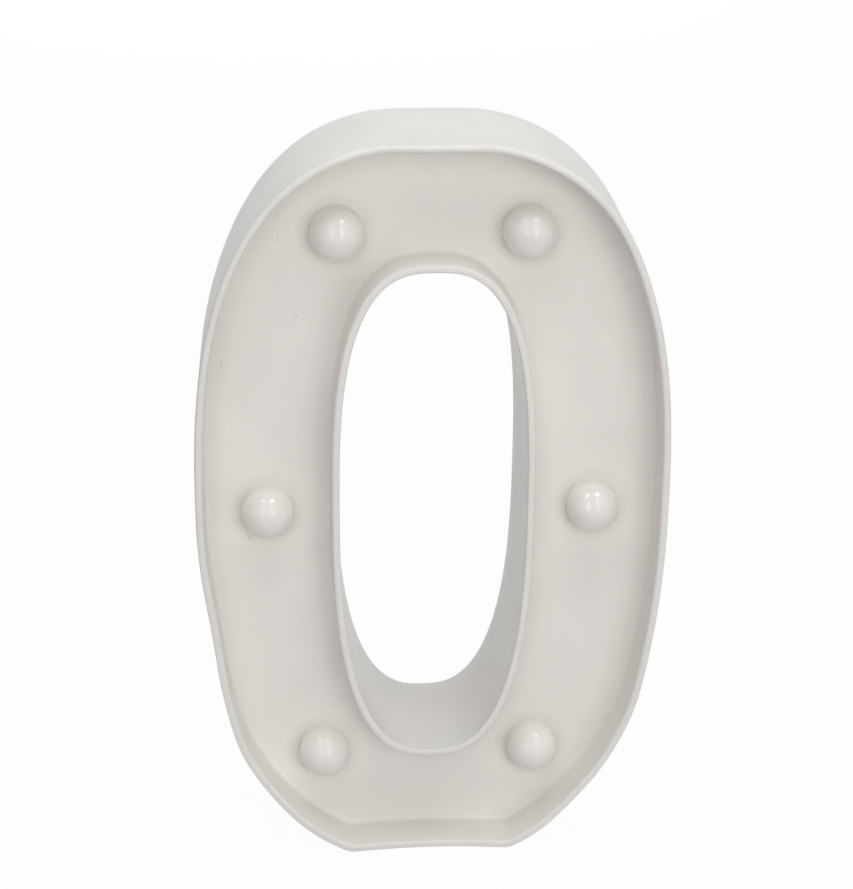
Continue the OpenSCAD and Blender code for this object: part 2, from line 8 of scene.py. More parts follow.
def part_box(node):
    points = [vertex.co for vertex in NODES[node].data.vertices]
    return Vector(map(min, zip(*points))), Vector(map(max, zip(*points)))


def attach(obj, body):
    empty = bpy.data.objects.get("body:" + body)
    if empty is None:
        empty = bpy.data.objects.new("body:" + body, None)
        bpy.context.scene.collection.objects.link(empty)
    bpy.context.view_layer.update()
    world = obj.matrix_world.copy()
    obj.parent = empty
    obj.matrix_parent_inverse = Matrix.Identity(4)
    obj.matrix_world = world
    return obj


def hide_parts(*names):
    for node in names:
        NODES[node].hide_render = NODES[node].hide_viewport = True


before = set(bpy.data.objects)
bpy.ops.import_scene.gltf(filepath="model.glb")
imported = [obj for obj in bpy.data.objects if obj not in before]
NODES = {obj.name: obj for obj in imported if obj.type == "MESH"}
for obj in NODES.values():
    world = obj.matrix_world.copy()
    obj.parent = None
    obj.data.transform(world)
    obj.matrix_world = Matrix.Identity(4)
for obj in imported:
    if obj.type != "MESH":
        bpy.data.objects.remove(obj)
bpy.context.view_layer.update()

bl_info = {
    "name": "Light-up Digit Zero",
    "version": (1, 0, 0),
    "blender": (4, 5, 0),
    "location": "View3D > Sidebar > Digit",
    "description": "Dresses the frame of a light-up digit zero with finished pieces, materials and a stage",
    "category": "Object",
}

MM = 0.001
BULB_COUNT = 6

# What the frame gives
SHELL_LOW, SHELL_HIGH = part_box("front_shell")
COVER_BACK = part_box("back_cover")[1].y


def numbered(name):
    """Names of the six nodes of one kind, from the lower right round the top to the lower left"""
    return [f"{name}_{i + 1}" for i in range(BULB_COUNT)]


def middle(node):
    """The middle of a CAD node's box"""
    low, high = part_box(node)
    return (low + high) / 2


# Sizes, colours, the light and the view, which a user may change

def length(name, description, default):
    """A size in metres"""
    return bpy.props.FloatProperty(name=name, description=description, default=default, precision=5,
                                   unit="LENGTH")


def number(name, description, default):
    """A number with no unit"""
    return bpy.props.FloatProperty(name=name, description=description, default=default, precision=4)


def angle(name, description, default):
    """An angle, given in degrees"""
    return bpy.props.FloatProperty(name=name, description=description, default=math.radians(default),
                                   precision=4, unit="ROTATION", subtype="ANGLE")


def colour(name, description, default):
    """A colour in linear light"""
    return bpy.props.FloatVectorProperty(name=name, description=description, default=default, size=3,
                                         min=0.0, max=1.0, subtype="COLOR")


class BodySizes(bpy.types.PropertyGroup):
    """Sizes of the moulded digit"""
    centre_height: length("Centre height", "Height of the widest level", 114.7 * MM)
    top_flat: length("Top flat", "Width of the flat on top", 20 * MM)
    base_flat: length("Base flat", "Width of the flat that the digit stands on", 48 * MM)
    upper_fullness: number("Upper fullness", "Fullness of the outer oval above its centre", 2.57)
    lower_fullness: number("Lower fullness", "Fullness of the outer oval below its centre", 2.41)
    side_stroke: length("Side stroke", "Width of the two upright strokes", 40.9 * MM)
    top_stroke: length("Top stroke", "Width of the stroke at the top", 36.3 * MM)
    base_stroke: length("Base stroke", "Width of the stroke at the bottom", 34.8 * MM)
    hole_upper_fullness: number("Upper hole fullness", "Fullness of the hole above its centre", 2.78)
    hole_lower_fullness: number("Lower hole fullness", "Fullness of the hole below its centre", 2.65)
    wall: length("Wall", "Thickness of both walls", 2.2 * MM)
    cover_thickness: length("Cover", "Thickness of the back cover", 2.4 * MM)
    channel_depth: length("Channel depth", "Depth of the channel behind the rim", 13 * MM)
    floor_thickness: length("Floor", "Thickness of the channel floor", 2 * MM)
    lip_base: length("Base lip", "Radius on the outer edge of the front rim at the base", 0.25 * MM)
    lip_top: length("Top lip", "Radius on the outer edge of the front rim at the top", 1.1 * MM)
    lip_hole: length("Hole lip", "Radius on the edge of the front rim round the hole", 0.6 * MM)
    lip_inside: length("Lip inside", "Radius on the inner edge of the front rim", 0.8 * MM)
    floor_fillet: length("Floor fillet", "Radius between the channel floor and its walls", 1.3 * MM)
    back_rounding: length("Back rounding", "Radius on the edges of the back rim", 0.4 * MM)
    corner_rounding: length("Corner rounding", "Depth over which a corner of a flat is eased", 0.9 * MM)
    base_bow: length("Base bow", "How far the middle of the base is drawn up", 1.1 * MM)
    bow_fade: length("Bow fade", "Height above the ground at which the base's bow has faded out", 30 * MM)
    top_dip: length("Top dip", "How far the middle of the top sinks in", 0.6 * MM)
    dip_half: length("Dip half width", "From the middle of the top to the end of its dip", 20 * MM)
    dip_fade: length("Dip fade", "Depth below the top at which its dip has faded out", 40 * MM)
    dip_loss: number("Dip loss", "Share of the dip that is gone at the back", 0.8)
    back_lean: length("Back lean", "How far the back of the upper half lies to the right", 0.9 * MM)
    lean_reach: length("Lean reach", "Depth below the top where the lean is most, and its spread", 30 * MM)
    post_radius: length("Posts", "Radius of the screw posts behind the channel floor", 3.2 * MM)
    post_hole: length("Post holes", "Radius of the screw holes in the posts", 1.35 * MM)


class BulbSizes(bpy.types.PropertyGroup):
    """Sizes of a bulb, and the places of the bulbs"""
    ball_radius: length("Ball", "Radius of the ball", 7.6 * MM)
    wall: length("Wall", "Thickness of the bulb's wall", 1.2 * MM)
    bite: length("Bite", "How far a bulb presses into the edge of its floor hole", 0.03 * MM)
    # How far the painted shade round each bulb reaches on the channel floor
    painted_shade_reach: length("Dust", "How far faint dust lies on the channel floor round a bulb", 5 * MM)
    flange_thickness: length("Flange", "Thickness of the flange behind the floor", 1.2 * MM)
    upper_angle: angle("Upper bulbs", "Angle of the upper bulbs about the centre", 70.9)
    middle_angle: angle("Middle bulbs", "Angle of the middle bulbs about the centre", -7.1)
    lower_angle: angle("Lower bulbs", "Angle of the lower bulbs about the centre", -69.7)
    lower_share: number("Lower place", "Place of the lower bulbs across the stroke, from the hole", 0.58)


class ScrewSizes(bpy.types.PropertyGroup):
    """Sizes and places of the screws in the back cover and of the switch"""
    head_radius: length("Head", "Radius of a cover screw's head", 2.5 * MM)
    head_height: length("Head height", "Height of a cover screw's head", 1.3 * MM)
    shank_radius: length("Shank", "Radius of a cover screw's shank", 1.3 * MM)
    low_place: number("Low screws", "Place of the low screws between the lower and middle bulbs", 0.235)
    high_angle: angle("High screws", "Angle of the screws beside the upper bulbs", 54)
    top_angle: angle("Top screws", "Angle of the screws beside the keyhole", 81)
    top_share: number("Top place", "Place of the top screws across the stroke, from hole to outside", 0.78)
    switch_spacing: length("Switch screws", "Spacing of the two switch screws", 15.4 * MM)
    switch_head: length("Switch screw head", "Radius of a switch screw's head", 1.6 * MM)
    switch_head_height: length("Switch screw head height", "Height of a switch screw's head", 0.9 * MM)
    switch_shank: length("Switch screw shank", "Radius of a switch screw's shank", 0.75 * MM)
    shoulder: number("Shoulder", "Height of a head's straight side, as a share of the head's height", 0.4)
    recess_arm: number("Recess arm", "Reach of the cross recess, as a share of the head's radius", 0.6)
    recess_half: number("Recess half width", "Half width of the recess, as a share of the radius", 0.17)


class DoorSizes(bpy.types.PropertyGroup):
    """Sizes of the battery door's ribs and of the edges of cover and door"""
    softness: length("Softness", "Rounding of the edges of cover and door", 0.3 * MM)
    rib_count: bpy.props.IntProperty(name="Ribs", description="Number of grip ribs on the door", default=6)
    rib_length: length("Rib length", "Length of a grip rib", 14 * MM)
    rib_width: length("Rib width", "Width of a grip rib", 1 * MM)
    rib_height: length("Rib height", "How far a grip rib stands proud of the door", 0.6 * MM)
    rib_rounding: length("Rib rounding", "Rounding of a grip rib's edges", 0.45 * MM)
    rib_step: length("Rib step", "Distance from rib to rib", 2.2 * MM)
    rib_low: length("Lowest rib", "Distance from the door's lower edge to the lowest rib", 5 * MM)


class KnobSizes(bpy.types.PropertyGroup):
    """Sizes of the switch's knob and of the carriage that it stands on"""
    knob_length: length("Knob length", "Length of the knob along its travel", 3.4 * MM)
    knob_width: length("Knob width", "Width of the knob", 3 * MM)
    rounding: length("Rounding", "Rounding of the edges of knob and carriage", 0.25 * MM)
    carriage_depth: length("Carriage depth", "From the outer face of the can to the carriage", 0.7 * MM)
    ridge_count: bpy.props.IntProperty(name="Ridges", description="Number of ridges on the knob", default=4)
    ridge_height: length("Ridge height", "How far a ridge stands proud of the knob", 0.3 * MM)
    ridge_sink: length("Ridge sink", "How far a ridge reaches into the knob", 0.5 * MM)
    ridge_width: length("Ridge width", "Width of a ridge", 0.6 * MM)
    ridge_length: length("Ridge length", "Length of a ridge across the travel", 2.55 * MM)
    ridge_rounding: length("Ridge rounding", "Rounding of a ridge's edges", 0.2 * MM)
    ridge_step: length("Ridge step", "Distance from ridge to ridge", 0.85 * MM)


class PowerSizes(bpy.types.PropertyGroup):
    """Sizes of the cells, contacts, wires and resistor"""
    nub_radius: length("Nub", "Radius of a cell's nub", 2.75 * MM)
    nub_height: length("Nub height", "Height of a cell's nub", 1.3 * MM)
    cell_fold: length("Cell fold", "Rounding where a cell's jacket folds over its ends", 0.8 * MM)
    cell_sink: length("Cell sink", "Depth of the ends behind the folds of the jacket", 0.24 * MM)
    band: length("Band", "Length of the pale band at a cell's positive end", 12 * MM)
    spring_wire: length("Spring wire", "Radius of the contact springs' wire", 0.35 * MM)
    spring_tip: length("Spring tip", "Radius of a contact spring at its cell", 2.8 * MM)
    spring_turns: number("Spring turns", "Turns of a contact spring", 3.5)
    tab_offset: length("Tab offset", "How far the solder tabs lie in front of the cells' axes", 1 * MM)
    wire_radius: length("Wire", "Radius of the insulated wires", 0.65 * MM)
    wire_bow: length("Wire bow", "How far the wires bow away from the middle of the stroke", 7 * MM)
    feed_fall: number("Feed fall", "How strongly a feed wire heads down at its start, in wire bows", 3.0)
    feed_swing: number("Feed swing", "How strongly it swings past the first lamp, in wire bows", 2.0)
    lead_spacing: length("Lead spacing", "Spacing of a lamp's two leads", 2.54 * MM)
    lead_width: length("Lead width", "Width of a lead", 0.5 * MM)
    joint_gap: length("Joint gap", "Gap between a wire and its lead, which the solder fills", 0.35 * MM)
    solder_share: number("Solder", "Radius of a drop of solder, as a share of the wire's", 1.15)
    resistor_lead: length("Resistor leads", "Length of each resistor lead", 5 * MM)
    resistor_lead_radius: length("Resistor lead radius", "Radius of the resistor leads", 0.3 * MM)
    resistor_waist: number("Resistor waist", "Radius of the resistor's waist, as a share of its ends'", 0.82)
    resistor_end: number("Resistor ends", "Share of the resistor's body that each round end takes", 0.14)


class Finishes(bpy.types.PropertyGroup):
    """Colours of the finishes"""
    shell: colour("Shell", "Moulded white plastic", (0.828, 0.805, 0.781))
    # Colour of the real specks and hair lines on the shell, and of the painted shade round the bulbs
    dirt_and_shade: colour("Dirt", "Specks, hair lines and dust on the shell", (0.40, 0.38, 0.355))
    bulb: colour("Bulbs", "Milky bulb plastic", (0.88, 0.85, 0.82))
    cover: colour("Cover", "Fine matt plastic of the back cover and door", (0.80, 0.785, 0.755))
    holder: colour("Lamp holders", "Plain white plastic", (0.78, 0.78, 0.75))
    lamp: colour("Lamps", "Clear cast resin", (0.96, 0.95, 0.88))
    tin: colour("Tin", "Leads and solder", (0.66, 0.66, 0.67))
    nickel: colour("Nickel", "Contacts and springs", (0.70, 0.68, 0.64))
    sheet: colour("Sheet", "Switch frame", (0.56, 0.56, 0.56))
    zinc: colour("Zinc", "Screws", (0.62, 0.63, 0.64))
    jacket: colour("Jacket", "Cells", (0.055, 0.058, 0.063))
    band: colour("Band", "Band at the cells' positive ends", (0.46, 0.44, 0.40))
    board: colour("Board", "Brown laminate of the switch", (0.28, 0.14, 0.06))
    black: colour("Black", "Switch knob", (0.022, 0.022, 0.024))
    red_wire: colour("Red wire", "Insulation", (0.50, 0.025, 0.02))
    black_wire: colour("Black wire", "Insulation", (0.018, 0.018, 0.02))
    resistor: colour("Resistor", "Tan lacquer", (0.62, 0.45, 0.26))


class Studio(bpy.types.PropertyGroup):
    """The floor and the light from all round"""
    floor_reach: length("Floor reach", "From the middle of the floor to its sides", 4.0)
    floor_shade: number("Floor shade", "Lightness of the floor where it throws light back", 0.58)
    floor_white: number("Floor white", "How far the floor shows to the camera as plain white", 0.97)
    ambient: number("Ambient", "Strength of the light from all round", 0.14)


class PhotoView(bpy.types.PropertyGroup):
    """The photograph's viewpoint"""
    azimuth: angle("Azimuth", "Turn of the camera about the upright axis", -4.121)
    elevation: angle("Elevation", "Height of the camera above the horizon", 22.127)
    roll: angle("Roll", "Tilt of the camera about its own axis", 0.556)
    distance: length("Distance", "From the camera's plane to the middle of the front rim", 620.5 * MM)
    focal_pixels: number("Focal length", "Focal length in pixels of the photograph", 2171.7)
    long_side: number("Long side", "Pixels along the photograph's longer side", 889)
    aim_right: number("Aim across", "Pixels from the image centre to the middle of the front rim", 7.26)
    aim_down: number("Aim down", "Pixels from the image centre down to the middle of the front rim", 75.64)


GROUPS = {
    "digit_body": BodySizes,
    "digit_bulbs": BulbSizes,
    "digit_screws": ScrewSizes,
    "digit_door": DoorSizes,
    "digit_knob": KnobSizes,
    "digit_power": PowerSizes,
    "digit_finishes": Finishes,
    "digit_studio": Studio,
    "digit_view": PhotoView,
}


# Outlines of the digit, as radii about the centre of both ovals

def mix(a, b, share):
    """The value at a share of the way from a to b"""
    return a + (b - a) * share


def inner_shares(count):
    """Shares from 0 to 1 in a count of even steps, without both ends"""
    return [i / count for i in range(1, count)]


def arc(x, y, radius, start, steps, sweep=90):
    """Points of an arc about (x, y), from a start angle through a sweep, both in degrees"""
    turns = [math.radians(start + sweep * i / steps) for i in range(steps + 1)]
    return [(x + radius * math.cos(turn), y + radius * math.sin(turn)) for turn in turns]


def eased_min(a, b, ease):
    """The smaller of two values, with a rounded change from one to the other"""
    overlap = max(ease - abs(a - b), 0.0)
    return min(a, b) - overlap * overlap / (4 * ease)


def oval(turn, width, height, fullness):
    """Radius of a full oval towards an angle"""
    across = abs(math.cos(turn) / width) ** fullness
    along = abs(math.sin(turn) / height) ** fullness
    return (across + along) ** (-1 / fullness)


def half_through(reach, flat, width, fullness):
    """Half height of the oval that runs through the corners of a flat"""
    return reach / (1 - (flat / width) ** fullness) ** (1 / fullness)


def slant(radius, turn):
    """How much longer a wall's thickness is along the radius than across the wall"""
    step = 0.002
    here = radius(turn)
    change = (radius(turn + step) - radius(turn - step)) / (2 * step)
    return math.hypot(here, change) / here


class Outline:
    """Both outlines of the digit, and points between them"""

    # Steps round the digit, and the finer ones within a reach of each corner
    STEPS = 480
    CORNER_STEPS = 16
    CORNER_REACH = math.radians(2)
    # Towards a flatter angle than this a flat lies far outside the oval
    FLAT_SLOPE = 0.1

    def __init__(self, body):
        self.body = body
        self.width = SHELL_HIGH.x - SHELL_LOW.x
        self.rise = SHELL_HIGH.z - body.centre_height
        self.hole_half = self.width / 2 - body.side_stroke
        self.hole_rise = self.rise - body.top_stroke
        self.hole_drop = body.centre_height - body.base_stroke
        self.top_half = half_through(self.rise, body.top_flat, self.width, body.upper_fullness)
        self.base_half = half_through(body.centre_height, body.base_flat, self.width, body.lower_fullness)

    def outer_oval(self, turn):
        """Radius of the outer wall without its flats"""
        if math.sin(turn) >= 0:
            return oval(turn, self.width / 2, self.top_half, self.body.upper_fullness)
        return oval(turn, self.width / 2, self.base_half, self.body.lower_fullness)

    def hole_oval(self, turn):
        """Radius of the wall round the hole"""
        if math.sin(turn) >= 0:
            return oval(turn, self.hole_half, self.hole_rise, self.body.hole_upper_fullness)
        return oval(turn, self.hole_half, self.hole_drop, self.body.hole_lower_fullness)

    def outer(self, turn, inset):
        """Radius of the outer wall, with its flats, less an inset"""
        radius = self.outer_oval(turn) - inset * slant(self.outer_oval, turn)
        reach = self.rise if math.sin(turn) >= 0 else self.body.centre_height
        slope = max(abs(math.sin(turn)), self.FLAT_SLOPE)
        return eased_min(radius, (reach - inset) / slope, self.body.corner_rounding)

    def hole(self, turn, inset):
        """Radius of the wall round the hole, plus an inset into the stroke"""
        return self.hole_oval(turn) + inset * slant(self.hole_oval, turn)

    def across(self, turn, share):
        """Radius of a point across the stroke, on the plain ovals"""
        return mix(self.hole_oval(turn), self.outer_oval(turn), share)

    def at(self, radius, turn, y=0.0):
        """A point by its radius and angle about the centre"""
        return Vector((radius * math.cos(turn), y, self.body.centre_height + radius * math.sin(turn)))

    def point(self, turn, share, inset, y):
        """A point across the stroke, from the hole (0) to the outside (1)"""
        return self.at(mix(self.hole(turn, inset), self.outer(turn, inset), share), turn, y)

    def turns(self):
        """Angles round the digit, closer together at the corners of the flats"""
        top = math.atan2(self.rise, self.body.top_flat / 2)
        base = math.atan2(self.body.centre_height, self.body.base_flat / 2)
        corners = [top, math.pi - top, math.pi + base, 2 * math.pi - base]
        coarse = [2 * math.pi * i / self.STEPS for i in range(self.STEPS)]
        spread = [turn for turn in coarse
                  if min(abs(turn - corner) for corner in corners) > self.CORNER_REACH]
        fine = [corner + self.CORNER_REACH * i / self.CORNER_STEPS
                for corner in corners for i in range(-self.CORNER_STEPS, self.CORNER_STEPS + 1)]
        return sorted(spread + fine)


# The shell's section, and how the moulding has settled

def floor_front(body):
    """Where the channel floor's front face lies"""
    return SHELL_LOW.y + body.channel_depth


def floor_back(body):
    """Where the channel floor's back face lies"""
    return floor_front(body) + body.floor_thickness


def side_section(body, share, lip):
    """Half of the section: from the back rim over the front rim, with its lip, to the channel floor"""
    front = SHELL_LOW.y
    back = SHELL_HIGH.y
    inside = body.lip_inside
    edge = body.back_rounding
    fillet = body.floor_fillet
    floor = floor_front(body)
    rows = arc(edge, back - edge, edge, start=90, steps=3)
    rows += [(0.0, mix(back - edge, front + lip, part)) for part in inner_shares(6)]
    rows += arc(lip, front + lip, lip, start=180, steps=6)
    rows += arc(body.wall - inside, front + inside, inside, start=270, steps=5)
    rows += [(body.wall, mix(front + inside, floor - fillet, part)) for part in inner_shares(3)]
    rows += arc(body.wall + fillet, floor - fillet, fillet, start=180, steps=6, sweep=-90)
    return [(share, inset, y) for inset, y in rows]


def back_section(body, share):
    """The rest of the section: from behind the floor along the inner side of a wall to the back rim"""
    back = SHELL_HIGH.y
    edge = body.back_rounding
    behind = floor_back(body)
    rows = [(body.wall + body.floor_fillet, behind), (body.wall, behind)]
    rows += [(body.wall, mix(behind, back - edge, part)) for part in inner_shares(3)]
    rows += arc(body.wall - edge, back - edge, edge, start=0, steps=3)
    return [(share, inset, y) for inset, y in rows]


def shell_section(body, turn):
    """The whole section towards an angle, as (share across the stroke, inset, y), running round once"""
    lip = mix(body.lip_base, body.lip_top, (1 + math.sin(turn)) / 2)
    inset = body.wall + body.floor_fillet
    across = inner_shares(10)
    return (side_section(body, 1.0, lip)
            + [(1 - share, inset, floor_front(body)) for share in across]
            + side_section(body, 0.0, body.lip_hole)[::-1]
            + back_section(body, 0.0)[::-1]
            + [(share, inset, floor_back(body)) for share in across]
            + back_section(body, 1.0))


# Where the outer wall has cooled out of line: side, height, spread up and down, and push outwards, in mm
DENTS = (
    (-1, 74, 20, -1.6),
    (-1, 34, 11, 0.9),
    (1, 46, 15, 0.9),
    (1, 14, 10, -1.2),
    (1, 200, 14, 0.8),
)


def hump(value, centre, spread):
    """1 at a centre, which falls softly to 0 on both sides"""
    return math.exp(-((value - centre) / spread) ** 2)


def settled(point, share, inner, body):
    """Where a point of the shell lies after the moulding has cooled; the inner room behind stays true"""
    behind = (point.y - SHELL_LOW.y) / (SHELL_HIGH.y - SHELL_LOW.y)
    below_top = SHELL_HIGH.z - point.z
    bow_share = max(1 - (2 * point.x / body.base_flat) ** 2, 0.0) * max(1 - point.z / body.bow_fade, 0.0)
    dip_share = max(1 - (point.x / body.dip_half) ** 2, 0.0) ** 2 * max(1 - below_top / body.dip_fade, 0.0)
    lift = body.base_bow * bow_share - body.top_dip * dip_share * (1 - body.dip_loss * behind)
    push = 0.0
    if not inner:
        push = share * body.back_lean * behind * hump(below_top, body.lean_reach, body.lean_reach)
    for side, height, spread, depth in DENTS:
        if side * point.x > 0:
            push += side * share * (1 - behind) * depth * MM * hump(point.z, height * MM, spread * MM)
    moved = point + Vector((push, 0, lift))
    moved.x = min(max(moved.x, SHELL_LOW.x), SHELL_HIGH.x)
    return moved


# Meshes

# Edges that bend by more than this stay sharp, in degrees
SHARP = 35
SHARP_ON_BULB = 50
SHARP_ON_BEVEL = 25
# A ring smaller than this is a point, and points closer than this are one
TINY = 0.001 * MM


def smoothed(data, sharp=SHARP):
    """A mesh that is smooth apart from its sharp edges"""
    data.shade_smooth()
    data.set_sharp_from_angle(angle=math.radians(sharp))
    return data


def finished(mesh, name, sharp=SHARP):
    """A plain mesh from a bmesh, with its faces outwards"""
    bmesh.ops.recalc_face_normals(mesh, faces=mesh.faces)
    data = bpy.data.meshes.new(name)
    mesh.to_mesh(data)
    mesh.free()
    return smoothed(data, sharp)


def add_ring_faces(mesh, here, there, marks=None):
    """Joins two rings of a turned or swept shape, with a material number for each face if given"""
    count = max(len(here), len(there))
    for i in range(count):
        k = (i + 1) % count
        corners = [here[i % len(here)], here[k % len(here)], there[k % len(there)], there[i % len(there)]]
        face = mesh.faces.new(list(dict.fromkeys(corners)))
        if marks:
            face.material_index = marks[i % len(marks)]


def turned(profile, steps=64, marks=None):
    """A solid turned about the y axis from (radius, y) points, with a material number per step if given"""
    mesh = bmesh.new()
    rings = []
    for radius, y in profile:
        count = steps if radius > TINY else 1
        turns = [2 * math.pi * i / count for i in range(count)]
        rings.append([mesh.verts.new((radius * math.cos(a), y, radius * math.sin(a))) for a in turns])
    for i in range(len(rings) - 1):
        add_ring_faces(mesh, rings[i], rings[i + 1], [marks[i]] if marks else None)
    return mesh


def stood(mesh, place, upright=True):
    """Turns a shape from the y axis on to the z axis, upright or head down, and puts it at a place"""
    turn = Matrix.Rotation(math.pi / 2 if upright else -math.pi / 2, 4, "X")
    bmesh.ops.transform(mesh, matrix=Matrix.Translation(place) @ turn, verts=mesh.verts)
    return mesh


def rounded(mesh, edges, offset, segments):
    """Rounds edges of a bmesh in a few flat steps"""
    bmesh.ops.bevel(mesh, geom=edges, offset=offset, segments=segments, profile=0.5, affect="EDGES")
    return mesh


def rounded_block(low, high, rounding, segments=2):
    """A box between two corners, with rounded edges"""
    mesh = bmesh.new()
    bmesh.ops.create_cube(mesh, size=1.0)
    for vert in mesh.verts:
        vert.co = [mix(a, b, part + 0.5) for a, b, part in zip(low, high, vert.co)]
    return rounded(mesh, mesh.edges[:], rounding, segments)


def softened(node, width, chosen):
    """A copy of a CAD node's mesh whose chosen sharp edges are rounded"""
    flat = math.radians(0.1)
    mesh = bmesh.new()
    mesh.from_mesh(NODES[node].data)
    bmesh.ops.remove_doubles(mesh, verts=mesh.verts, dist=TINY)
    bmesh.ops.dissolve_limit(mesh, angle_limit=flat, verts=mesh.verts, edges=mesh.edges)
    paired = [edge for edge in mesh.edges if len(edge.link_faces) == 2]
    sharp = [edge for edge in paired if edge.calc_face_angle() > math.radians(SHARP) and chosen(edge)]
    return finished(rounded(mesh, sharp, width, segments=2), node, SHARP_ON_BEVEL)


def on_back(edge):
    """Whether an edge lies in the back face of the cover and door"""
    near = 0.01 * MM
    return all(abs(vert.co.y - COVER_BACK) < near for vert in edge.verts)


def joined(parts, name):
    """One mesh from several"""
    mesh = bmesh.new()
    for data in parts:
        mesh.from_mesh(data)
    return finished(mesh, name)


def dressed(name, data, carrier, slot, *nodes):
    """An object for a finished mesh, which rides a moving body and stands for CAD nodes"""
    piece = bpy.data.objects.new(name, data)
    bpy.context.scene.collection.objects.link(piece)
    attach(piece, carrier)
    if nodes:
        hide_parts(*nodes)
    return piece


def cut(data, cutter):
    """A mesh less another mesh"""
    piece = bpy.data.objects.new("uncut", data)
    tool = bpy.data.objects.new("cutter", cutter)
    for thing in (piece, tool):
        bpy.context.scene.collection.objects.link(thing)
    modifier = piece.modifiers.new("Cut", "BOOLEAN")
    modifier.object = tool
    modifier.solver = "EXACT"
    graph = bpy.context.evaluated_depsgraph_get()
    result = bpy.data.meshes.new_from_object(piece.evaluated_get(graph))
    for thing in (piece, tool):
        bpy.data.objects.remove(thing)
    return smoothed(result)


def painted(data, *materials):
    """A new mesh with its materials, in the order of its material numbers"""
    for material in materials:
        data.materials.append(material)
    return data


def paint_nodes(material, *nodes):
    """Gives a material to CAD nodes whose shape stays as it is"""
    for node in nodes:
        for slot in NODES[node].material_slots:
            slot.material = material


# Node trees

def add_node(tree, kind, settings, inputs):
    """A node with its settings made first, then the values or links of its inputs"""
    node = tree.nodes.new(kind)
    for name, value in settings.items():
        if name == "interpolation" and hasattr(node, "color_ramp"):
            node.color_ramp.interpolation = value
        elif name == "stops":
            ramp = node.color_ramp.elements
            while len(ramp) < len(value):
                ramp.new(0.5)
            for element, (place, shade) in zip(ramp, value):
                element.position = place
                element.color = shade
        else:
            setattr(node, name, value)
    for key, value in inputs.items():
        source = getattr(value, "socket", value)
        if isinstance(source, bpy.types.NodeSocket):
            tree.links.new(source, node.inputs[key])
        else:
            node.inputs[key].default_value = value
    return node


class Amount:
    """A shader value that can be used in sums"""

    def __init__(self, finish, socket):
        self.finish = finish
        self.socket = socket

    def _math(self, operation, first, second):
        """The amount that a Math node makes from two others"""
        return self.finish.node("ShaderNodeMath", {"operation": operation}, {0: first, 1: second})

    def __add__(self, other):
        return self._math("ADD", self, other)

    def __sub__(self, other):
        return self._math("SUBTRACT", self, other)

    def __rsub__(self, other):
        return self._math("SUBTRACT", other, self)

    def __mul__(self, other):
        return self._math("MULTIPLY", self, other)

    def __truediv__(self, other):
        return self._math("DIVIDE", self, other)

    def __rtruediv__(self, other):
        return self._math("DIVIDE", other, self)

    def __gt__(self, other):
        return self._math("GREATER_THAN", self, other)

    def __lt__(self, other):
        return self._math("LESS_THAN", self, other)

    def __abs__(self):
        return self._math("ABSOLUTE", self, 0.0)

    __radd__ = __add__
    __rmul__ = __mul__


# The same in all directions
EVEN = (1.0, 1.0, 1.0)


def opaque(shade, factor=1.0):
    """A colour with full alpha, made lighter or darker"""
    return (*[min(part * factor, 1.0) for part in shade], 1.0)


class Finish:
    """A material and the nodes that make it"""

    def __init__(self, name):
        self.material = bpy.data.materials.new(name)
        self.material.use_nodes = True
        self.tree = self.material.node_tree
        self.tree.nodes.clear()
        self.place = self.node("ShaderNodeTexCoord", output="Object")

    def node(self, kind, settings=None, inputs=None, output=0):
        """One output of a new node"""
        made = add_node(self.tree, kind, settings or {}, inputs or {})
        return Amount(self, made.outputs[output])

    def noise(self, scale, detail=2.0, stretch=EVEN):
        """Soft noise from 0 to 1, with its scale per metre"""
        place = self.node("ShaderNodeMapping", {}, {"Vector": self.place, "Scale": stretch})
        return self.node("ShaderNodeTexNoise", {}, {"Vector": place, "Scale": scale, "Detail": detail})

    def heights(self):
        """Height above the ground"""
        return self.node("ShaderNodeSeparateXYZ", {}, {"Vector": self.place}, "Z")

    def round_about(self, place, radius, reach):
        """1 beside a round thing that stands out to the front, falling softly to 0 within a reach"""
        foot = (place.x, 0, place.z)
        flat = self.node("ShaderNodeVectorMath", {"operation": "MULTIPLY"}, {0: self.place, 1: (1, 0, 1)})
        away = self.node("ShaderNodeVectorMath", {"operation": "DISTANCE"}, {0: flat, 1: foot}, "Value")
        share = (away - radius) / reach
        return self.node("ShaderNodeMapRange", {"interpolation_type": "SMOOTHSTEP"},
                         {"Value": share, "To Min": 1.0, "To Max": 0.0})

    def ramp(self, share, stops):
        """A colour by steps along a share from 0 to 1"""
        return self.node("ShaderNodeValToRGB", {"stops": stops, "interpolation": "CONSTANT"}, {"Fac": share})

    def between(self, share, first, second):
        """A colour between two colours"""
        return self.node("ShaderNodeMix", {"data_type": "RGBA"}, {0: share, 6: first, 7: second}, output=2)

    def shades(self, share, shade, dark, light):
        """A colour between a darker and a lighter form of one shade"""
        return self.between(share, opaque(shade, dark), opaque(shade, light))

    def about(self, level, *parts):
        """An amount that varies about a level, by a spread for each share from 0 to 1"""
        total = level - sum(spread for share, spread in parts) / 2
        for share, spread in parts:
            total = total + share * spread
        return total

    def bump(self, height, depth):
        """A normal from a height that runs from 0 to 1"""
        return self.node("ShaderNodeBump", {}, {"Height": height, "Distance": depth, "Strength": 1.0})

    def surface(self, **inputs):
        """The finished surface, with its inputs named as on the shader"""
        named = {}
        for name, value in inputs.items():
            named[name.replace("_", " ").title().replace("Ior", "IOR")] = value
        return self.output(self.node("ShaderNodeBsdfPrincipled", {}, named))

    def output(self, shader):
        """The material, once its last node is linked"""
        add_node(self.tree, "ShaderNodeOutputMaterial", {}, {"Surface": shader})
        return self.material


# Finishes, with noise scales per metre

